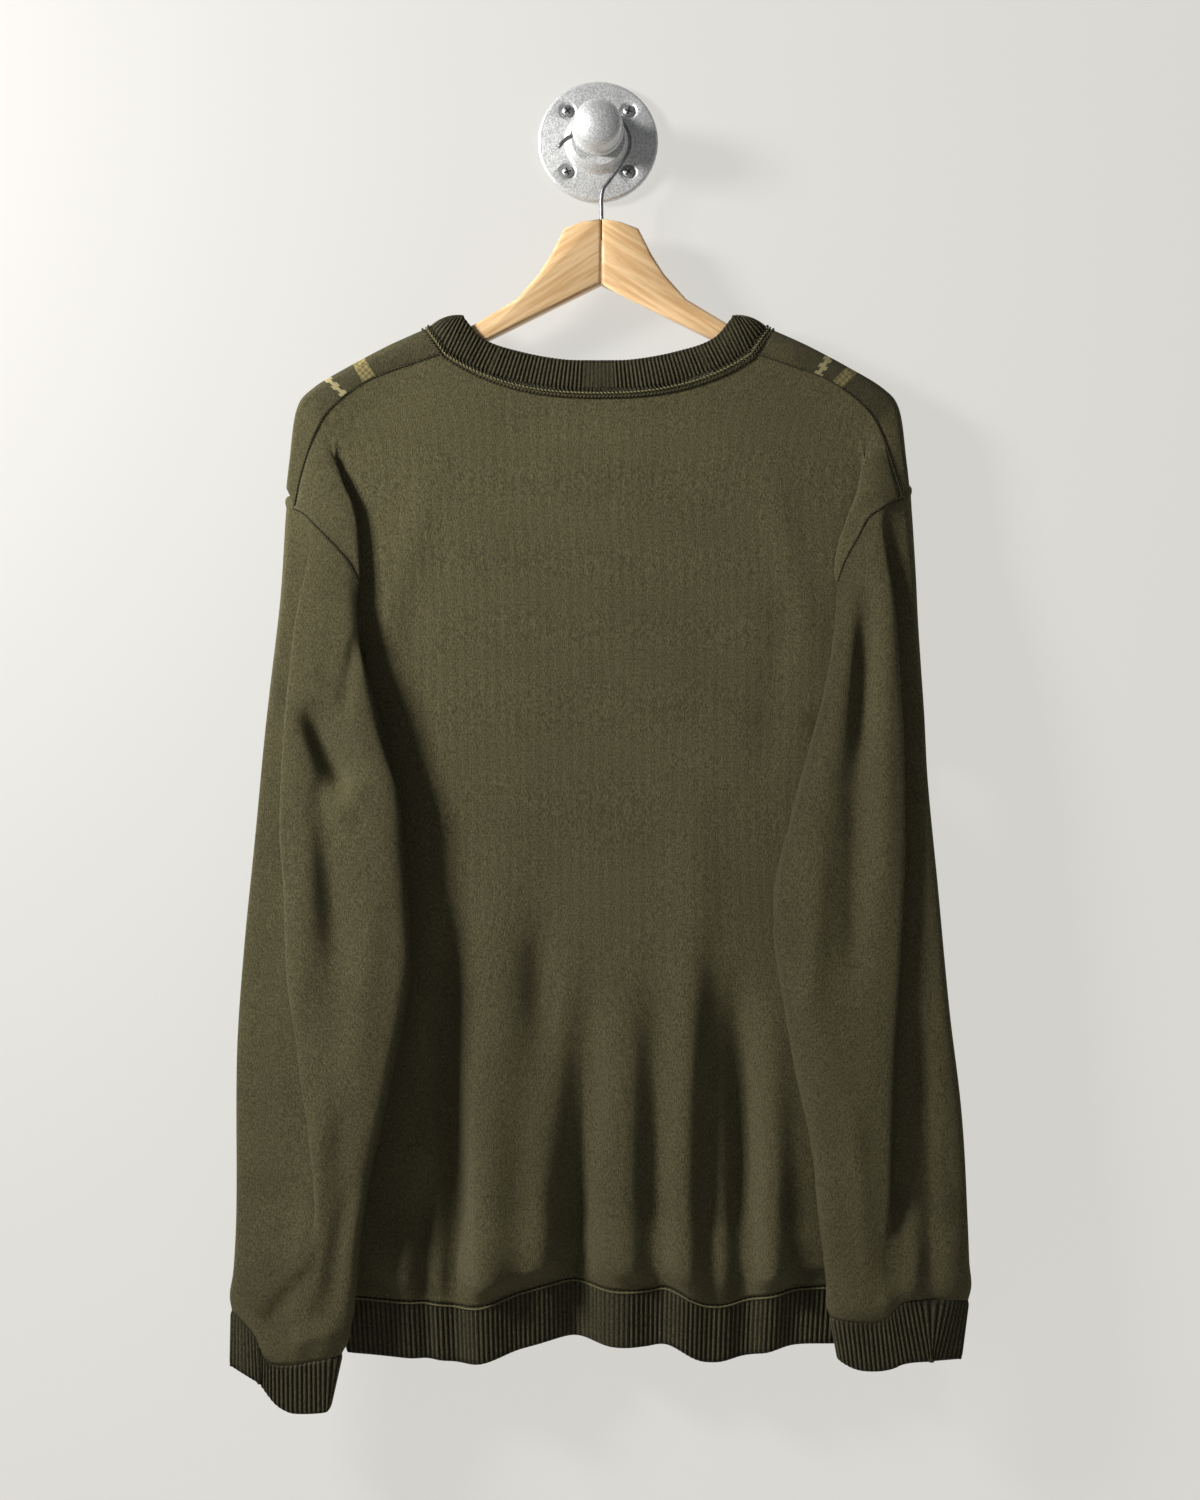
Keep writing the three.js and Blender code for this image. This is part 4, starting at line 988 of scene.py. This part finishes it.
@dataclass
class Sweater:
    """The knitted pieces, their ribs and their linking stitches."""

    wools: dict[Fibre, bpy.types.Material]
    patterned: bpy.types.Material
    yarns: dict[str, bpy.types.Material]
    stitches: bpy.types.NodeTree
    cell: float = 2.8
    rib_cell: float = 0.6
    jersey: float = 1.6
    rows: RowCounts = field(default_factory=lambda: RowCounts(44, 60, 160))
    made: dict[str, Surface] = field(default_factory=dict)

    def panel_row(self, panel: str, row: int, cell: float, counts: list[int] | None = None) -> np.ndarray:
        """One dressed row of the back or front panel.

        Args:
            panel: "back" or "front".
            row: The row, from 0 at the neck.
            cell: Distance between points, unless counts are given.
            counts: Points round each control.

        Returns:
            Points as [x, height, depth], left to right as seen from the room.
        """
        back = panel == "back"
        ends = self.ends[panel]
        left, right = ends[0][row], ends[1][row]
        level = (left[1] + right[1]) / 2
        if back:
            share = row / self.rows.shoulder
            middle = float(mix(NECK_BACK_Z, -271, share ** 1.2)) if share < 1 else level
            halves = [back_half(LEFT, left, middle), back_half(RIGHT, right, middle)]
        else:
            share = row / (self.rows.shoulder + self.rows.armhole - 1)
            middle = float(mix(-238, UNDERARM_Z, share)) if share < 1 else level
            place = min(row / self.rows.shoulder, 1)
            halves = [front_half(LEFT, left, place, middle), front_half(RIGHT, right, place, middle)]
        counts = counts or spread(halves[1], cell, False)
        line = full_row(halves[0], halves[1], counts)
        return dress(line, BACK_FOLDS if back else FRONT_FOLDS, 1 if back else -1)

    def build_panels(self) -> None:
        """Back and front panels in jersey."""
        self.ends = {
            "back": [row_ends(sleeve, ARMHOLE_BACK, self.rows) for sleeve in (LEFT, RIGHT)],
            "front": [row_ends(sleeve, ARMHOLE_FRONT, self.rows) for sleeve in (LEFT, RIGHT)],
        }
        total = self.rows.shoulder + self.rows.armhole + self.rows.side
        guide = self.rows.shoulder + int(self.rows.armhole * 0.5)
        for panel, flip in (("back", False), ("front", True)):
            half = self.guide_counts(panel, guide)
            rows = np.array([self.panel_row(panel, row, self.cell, half) for row in range(total)])
            surface = Surface(placed(rows[:, ::-1] if flip else rows), False)
            if not flip:
                surface = surface.raised(crease_rise(surface.points))
            name = f"{panel}_panel"
            self.made[name] = surface
            thing = cloth_object(f"{name}_cloth", surface, self.jersey)
            finish_piece(thing, self.patterned if flip else self.wools[Fibre.JERSEY], "jersey", name)

    def guide_counts(self, panel: str, row: int) -> list[int]:
        """Points round each control, from the row that is longest."""
        left, right = self.ends[panel][0][row], self.ends[panel][1][row]
        if panel == "back":
            half = back_half(RIGHT, right, left[1])
        else:
            half = front_half(RIGHT, right, 1, left[1])
        counts = spread(half, self.cell, False)
        return counts if panel == "back" else [*counts[:3], *[max(4, n) for n in counts[3:]]]

    def build_sleeves(self) -> None:
        """Both sleeves and cuffs."""
        for sleeve, name in ((LEFT, "left"), (RIGHT, "right")):
            counts = spread(sleeve_controls(sleeve, 0.5), self.cell, True)
            shares = np.linspace(0, 1, 215)
            rows = np.array([blend(sleeve_controls(sleeve, share), counts, True) for share in shares])
            surface = self.facing(sleeve, rows)
            room = ease(0.044, 0.056, -surface.points[..., 1] * MM)
            surface = surface.raised(crease_rise(surface.points) * room + self.blousing(surface))
            self.made[f"sleeve_{name}"] = surface
            thing = cloth_object(f"sleeve_{name}_cloth", surface, self.jersey)
            finish_piece(thing, self.wools[Fibre.JERSEY], "jersey", f"sleeve_{name}")
            fine = [n * 4 for n in counts]
            top, end = (blend(c, fine, True) for c in (sleeve_controls(sleeve, 1), cuff_controls(sleeve)))
            band = np.array([mix(top, end, t) for t in np.linspace(0, 1, 22)])
            self.ribbed(f"cuff_{name}", self.facing(sleeve, band), 3.3, 1.15)

    def facing(self, sleeve: SleeveSizes, rows: np.ndarray) -> Surface:
        """A ring turned to its side of the garment, with columns left to right from outside."""
        rows = rows * np.array([sleeve.side.value, 1, 1])
        return Surface(placed(rows[:, ::-1] if sleeve.side is Side.RIGHT else rows), True)

    def blousing(self, surface: Surface) -> np.ndarray:
        """The soft roll of a sleeve just above its cuff."""
        rows = len(surface.points)
        up = np.linspace(1, 0, rows)[:, None] * np.ones(surface.points.shape[1])
        return 1.6 * np.exp(-(((up - 0.02) / 0.018) ** 2)) - 0.8 * np.exp(-((up / 0.008) ** 2))

    def ribbed(self, name: str, surface: Surface, pitch: float, height: float) -> None:
        """Raises ribs on a band and makes its cloth piece, with a point attribute that paints shade into the
        hollows between the ribs.
        """
        middle = len(surface.points) // 2
        line = surface.points[middle]
        step = np.linalg.norm(np.roll(line, -1, axis=0) - line, axis=1)
        length = step.sum() if surface.ring else step[:-1].sum()
        along = np.concatenate([[0], np.cumsum(step)[:-1]])
        ribs = max(1, round(length / pitch))
        wave = np.cos(2 * math.pi * along / length * ribs)
        profile = np.sign(wave) * np.abs(wave) ** 0.7
        down = np.linspace(0, 1, len(surface.points))[:, None]
        strength = ease(0, 0.1, down) * (1 - 0.6 * ease(0.93, 1, down))
        raised = surface.raised(height * profile[None, :] * strength * 0.5)
        roll = -0.6 * (ease(0.93, 1, down) + (1 - ease(0, 0.05, down))) * np.ones_like(profile)[None, :]
        raised = raised.raised(roll)
        self.made[name] = raised
        thing = cloth_object(f"{name}_rib", raised, 1.5)
        # A point attribute from 0 in the hollow between ribs to 1 on each rib's ridge; the rib material
        # paints shade with it.
        crest_shade = thing.data.attributes.new("crest_shade", "FLOAT", "POINT")
        rib_shade = np.ones_like(strength) * (profile * 0.5 + 0.5)[None, :]
        crest_shade.data.foreach_set("value", rib_shade.ravel().astype(np.float32))
        finish_piece(thing, self.wools[Fibre.RIB], "rib", name)

    def build_hems(self) -> None:
        """The rib below each panel."""
        last = self.rows.shoulder + self.rows.armhole + self.rows.side - 1
        for panel in ("back", "front"):
            top = self.panel_row(panel, last, self.rib_cell)
            bottom = top.copy()
            bottom[:, 0] *= HEM_DRAW
            bottom[:, 1] -= RIB_HEIGHT
            bottom[:, 2] = mix(top[:, 2], SIDE_SEAM_DEPTH, 0.03)
            band = np.array([mix(top, bottom, t) for t in np.linspace(0, 1, 24)])
            surface = Surface(placed(band[:, ::-1] if panel == "front" else band), False)
            self.ribbed(f"hem_{panel}", surface, 3.6, 1.5)

    def build_collar(self) -> None:
        """The band round the neck."""
        back = self.panel_row("back", 0, self.rib_cell)[:-1]
        front = self.panel_row("front", 0, self.rib_cell)[::-1][:-1]
        seam = np.concatenate([back, front])
        away, depth = np.abs(seam[:, 0]), seam[:, 2]
        over = ease(20, 36, depth)
        back_x, front_x = away * NECK_STRETCH[0], np.minimum(away * NECK_STRETCH[1], 101)
        front_z = np.where(seam[:, 1] > -150, -131, at(NECK_TOP_FRONT, front_x))
        top_x = mix(front_x, back_x, over) * np.sign(seam[:, 0])
        top_z = np.minimum(mix(front_z, at(NECK_TOP_BACK, back_x), over), -130.5)
        top = np.stack([top_x, top_z, mix(depth, 27, 0.05)], axis=1)
        band = np.array([mix(top, seam, t) for t in np.linspace(0, 1, 20)])
        surface = Surface(placed(band), True)
        crown = 1.3 * np.sin(np.linspace(0, math.pi, 20))[:, None] * np.ones(len(seam))
        surface = surface.raised(crown)
        self.ribbed("collar", surface, 2.9, 1.0)
        self.neck = Surface(placed(band), True)

    def stitch_line(self, name: str, points: np.ndarray, sizes: dict[str, float], yarn: str) -> None:
        """Sets a row of stitches along a line of points in millimetres."""
        edges = [(i, i + 1) for i in range(len(points) - 1)]
        thing = mesh_object(name, points * MM, [], edges)
        modifier = thing.modifiers.new("stitches", "NODES")
        modifier.node_group = self.stitches
        for item in self.stitches.interface.items_tree:
            if item.in_out == "INPUT" and item.name in sizes:
                modifier[item.identifier] = sizes[item.name]
            elif item.in_out == "INPUT" and item.name == "Material":
                modifier[item.identifier] = self.yarns[yarn]
        graph = bpy.context.evaluated_depsgraph_get()
        finished = bpy.data.meshes.new_from_object(thing.evaluated_get(graph))
        thing.modifiers.remove(modifier)
        thing.data = finished
        finish_piece(thing, None, "rib" if yarn == "dark" else "jersey")

    def build_stitches(self) -> None:
        """Linking rows at the neck, and the chain of stitches along the seams."""
        neck = self.neck.points
        lift = self.neck.outward()[-1] * 1.3
        ring = np.concatenate([neck[-1] + lift, (neck[-1] + lift)[:1]])
        down = neck[-1] - neck[-2]
        down /= np.linalg.norm(down, axis=1, keepdims=True)
        below = np.concatenate([down, down[:1]])
        zigzag = {"Spacing": 0.0029, "Length": 0.0036, "Width": 0.0012, "Tilt": 0.9}
        chain = {"Spacing": 0.0027, "Length": 0.003, "Width": 0.0012, "Tilt": 0.45}
        self.stitch_line("neck_link", ring, zigzag, "dark")
        self.stitch_line("neck_chain_upper", ring + below * 1.9, chain, "light")
        lower = {"Spacing": 0.0027, "Length": 0.003, "Width": 0.0015, "Tilt": -0.6}
        self.stitch_line("neck_chain_lower", ring + below * 4.6, lower, "dark")
        back, rows = self.made["back_panel"], self.rows
        out = back.outward()
        seams = {"left": slice(0, 1), "right": slice(-1, None)}
        for side, column in seams.items():
            edge = (back.points + out * 0.5)[: rows.shoulder, column][:, 0]
            line = {"Spacing": 0.0024, "Length": 0.0026, "Width": 0.0011, "Tilt": 0.3}
            self.stitch_line(f"shoulder_seam_{side}", edge, line, "dark")
            last = rows.shoulder + int(rows.armhole * 0.52)
            edge = (back.points + out * 0.4)[rows.shoulder: last, column][:, 0]
            self.stitch_line(f"armhole_seam_{side}", edge, line, "dark")
        for name in ("hem_back", "hem_front"):
            band = self.made[name]
            edge = (band.points + band.outward() * 0.9)[1]
            line = {"Spacing": 0.0018, "Length": 0.0021, "Width": 0.001, "Tilt": 0.5}
            self.stitch_line(f"{name}_course", edge, line, "light")

    def declare(self) -> None:
        """Logs each cloth piece's cut area beside the area its surface measures; the cut's width and length
        in metres are listed but not logged.

        The areas are worked out from the cut's widths and lengths, not taken from the surface.
        """
        cuts = {
            # Body 0.42 by 0.42 below the arms; 0.45 by 0.25 above, with the pleats, less neck and slope.
            "back_panel_cloth": ((0.52, 0.67), 0.285, "back_panel"),
            "front_panel_cloth": ((0.52, 0.7), 0.282, "front_panel"),
            # Mean width all round 0.265, mean length 0.52 from a sloping armhole.
            "sleeve_left_cloth": ((0.31, 0.62), 0.138, "sleeve_left"),
            "sleeve_right_cloth": ((0.31, 0.62), 0.138, "sleeve_right"),
            "collar_rib": ((0.56, 0.024), 0.56 * 0.024, "collar"),
            "hem_back_rib": ((0.41, 0.042), 0.41 * 0.042, "hem_back"),
            "hem_front_rib": ((0.39, 0.042), 0.39 * 0.042, "hem_front"),
            "cuff_left_rib": ((0.19, 0.04), 0.19 * 0.04, "cuff_left"),
            "cuff_right_rib": ((0.21, 0.04), 0.21 * 0.04, "cuff_right"),
        }
        for name, (flat, area, surface) in cuts.items():
            log.info("%s: cut %.4f, face measures %.4f square metres",
                     name, area, self.made[surface].area())

    def build(self) -> None:
        """Builds every piece of the sweater."""
        self.build_panels()
        self.build_sleeves()
        self.build_hems()
        self.build_collar()
        self.build_stitches()


@dataclass
class HardParts:
    """The hanger and the wall hook, finished over the CAD model's own solids."""

    finishes: dict[str, bpy.types.Material]

    def copy_of(self, node: str, name: str, bevel: float) -> bpy.types.Object:
        """A merged, smoothly shaded copy of a CAD node with eased edges."""
        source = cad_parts[node]
        mesh = source.data.copy()
        mesh.transform(source.matrix_world)
        form = bmesh.new()
        form.from_mesh(mesh)
        bmesh.ops.remove_doubles(form, verts=form.verts, dist=1e-5)
        form.to_mesh(mesh)
        form.free()
        thing = bpy.data.objects.new(name, mesh)
        bpy.context.scene.collection.objects.link(thing)
        mesh.shade_smooth()
        mesh.set_sharp_from_angle(angle=math.radians(32))
        if bevel:
            edge = thing.modifiers.new("edge", "BEVEL")
            edge.width = bevel
            edge.segments = 2
            edge.limit_method = "ANGLE"
            edge.angle_limit = math.radians(40)
        return thing

    def build(self) -> None:
        """Builds every hard part."""
        plan = [
            ("hanger_arm_left", "hanger_arm_left_wood", "wood_left", "wood", 0.0),
            ("hanger_arm_right", "hanger_arm_right_wood", "wood_right", "wood", 0.0),
            ("hanger_hook", "hanger_hook_wire", "wire", "wire", 0.0),
            ("wall_flange", "wall_flange_cast", "zinc", "zinc", 0.0004),
            ("pipe_nipple", "pipe_nipple_tube", "zinc", "zinc", 0.0),
            ("pipe_cap", "pipe_cap_cast", "zinc", "zinc", 0.0006),
            *[(f"screw_{i}", f"screw_{i}_head", "screw", "screw_steel", 0.0) for i in range(1, 5)],
        ]
        for node, name, finish, slot, bevel in plan:
            finish_piece(self.copy_of(node, name, bevel), self.finishes[finish], slot, node)
        self.build_recesses()

    def build_recesses(self) -> None:
        """A near-black cross in each screw head, painted shade standing in for the hollow of its cross slot.
        """
        for i, (x, z) in enumerate([(a, b) for a in (-22.5, 22.5) for b in (-22.5, 22.5)], 1):
            points, faces = [], []
            turn = math.radians(18 * i)
            for quarter in (0, math.pi / 2):
                c, s = math.cos(turn + quarter), math.sin(turn + quarter)
                base = len(points)
                for depth in (6.2, 7.0):
                    for a, b in ((-2.7, -0.5), (2.7, -0.5), (2.7, 0.5), (-2.7, 0.5)):
                        points.append((x + a * c - b * s, -depth, z + a * s + b * c))
                faces += [[base + k for k in face] for face in (
                    (3, 2, 1, 0), (4, 5, 6, 7), (0, 1, 5, 4), (1, 2, 6, 5), (2, 3, 7, 6), (3, 0, 4, 7))]
            thing = mesh_object(f"screw_{i}_recess", np.array(points) * MM, faces)
            finish_piece(thing, self.finishes["recess_shade"], "screw_steel")


@dataclass
class Studio:
    """Camera, soft light, the wall and a pale floor."""

    lens: float = 51.1
    eye: tuple[float, float, float] = (0.0015, -1.58, -0.45)
    floor: float = -1.9

    def camera(self) -> None:
        """Sets the camera level, straight in front of the wall."""
        data = bpy.data.cameras.new("camera")
        data.lens = self.lens
        data.sensor_width = 36
        camera = bpy.data.objects.new("camera", data)
        camera.location = self.eye
        camera.rotation_euler = (math.pi / 2, 0, 0)
        bpy.context.scene.collection.objects.link(camera)
        bpy.context.scene.camera = camera

    def plane(self, name: str, corners: list[tuple], material: bpy.types.Material) -> bpy.types.Object:
        """A flat stage piece."""
        thing = mesh_object(name, np.array(corners, float), [[0, 1, 2, 3]])
        thing.data.materials.append(material)
        return thing

    def light(self, name: str, place: tuple, aim: tuple, size: float, power: float, tint: tuple) -> None:
        """An area light turned to a point."""
        data = bpy.data.lights.new(name, "AREA")
        data.size, data.energy, data.color = size, power, tint
        lamp = bpy.data.objects.new(name, data)
        lamp.location = place
        lamp.rotation_euler = (Vector(aim) - Vector(place)).to_track_quat("-Z", "Y").to_euler()
        bpy.context.scene.collection.objects.link(lamp)

    def build(self) -> None:
        """Builds the whole setting."""
        self.camera()
        far, top = 4.0, 1.6
        pale = plain_material("wall_paint", (0.84, 0.825, 0.785, 1), 0.9, True, 0.74)
        wall = self.plane("wall", [(-far, 0.0015, self.floor), (far, 0.0015, self.floor),
                                   (far, 0.0015, top), (-far, 0.0015, top)], pale)
        wall.visible_shadow = False
        ground = plain_material("floor_paint", (0.8, 0.79, 0.76, 1), 0.85)
        self.plane("floor", [(-far, -far, self.floor), (far, -far, self.floor),
                             (far, far, self.floor), (-far, far, self.floor)], ground)
        target = (0.0, 0.0, -0.45)
        self.light("key", (-1.05, -0.62, 0.16), (0.0, 0.0, -0.42), 0.26, 29, (1.0, 0.985, 0.96))
        self.light("fill", (1.5, -2.4, -0.1), target, 2.2, 3.0, (0.97, 0.985, 1.0))
        self.light("far_side", (0.6, 2.6, 0.9), target, 2.0, 38, (1.0, 1.0, 1.0))
        world = bpy.data.worlds.new("sky")
        world.use_nodes = True
        world.node_tree.nodes["Background"].inputs[0].default_value = (0.95, 0.97, 1.0, 1)
        world.node_tree.nodes["Background"].inputs[1].default_value = 0.1
        bpy.context.scene.world = world
        bpy.context.scene.view_settings.view_transform = "Standard"


def finishes(groups: dict[str, bpy.types.NodeTree]) -> dict[str, bpy.types.Material]:
    """Builds every material by name."""
    dark, light = (0.088, 0.078, 0.037, 1), (0.222, 0.198, 0.098, 1)
    rib_dark, rib_light = (0.055, 0.05, 0.025, 1), (0.165, 0.15, 0.082, 1)
    made = {
        "jersey": Wool("jersey", dark, light).material(groups),
        "patterned": Wool("jersey_blocks", dark, light, pattern=True).material(groups),
        "rib": Wool("rib", rib_dark, rib_light, bump=0.0006, shade_rib_grooves=True).material(groups),
        "light": Wool("linking_yarn", rib_light, light, bump=0.0002).material(groups),
        "dark": Wool("seam_yarn", (0.03, 0.028, 0.02, 1), rib_dark, bump=0.0002).material(groups),
        "wood_left": Varnished("wood_left", math.radians(-32)).material(),
        "wood_right": Varnished("wood_right", math.radians(32)).material(),
        "zinc": Metal("zinc", (0.86, 0.87, 0.87, 1), (0.5, 0.51, 0.51, 1), 0.38, 0.55).material(),
        "wire": Metal("wire", (0.34, 0.34, 0.35, 1), (0.2, 0.2, 0.21, 1), 0.3, 1.0, 400).material(),
        "screw": Metal("screw_steel", (0.5, 0.5, 0.51, 1), (0.3, 0.3, 0.31, 1), 0.3, 0.8).material(),
        # Near-black painted shade for the hollow crosses in the screw heads.
        "recess_shade": plain_material("recess_shade", (0.01, 0.01, 0.01, 1), 0.7),
    }
    return made


def main() -> None:
    logging.basicConfig(level=logging.INFO, format="%(message)s")
    groups = {"knit": knit_group(), "heather": heather_group(), "pattern": pattern_group()}
    coats = finishes(groups)
    Studio().build()
    HardParts(coats).build()
    sweater = Sweater(
        wools={Fibre.JERSEY: coats["jersey"], Fibre.RIB: coats["rib"]},
        patterned=coats["patterned"],
        yarns={"light": coats["light"], "dark": coats["dark"]},
        stitches=stitch_tree(),
    )
    sweater.build()
    sweater.declare()


if __name__ == "__main__":
    main()
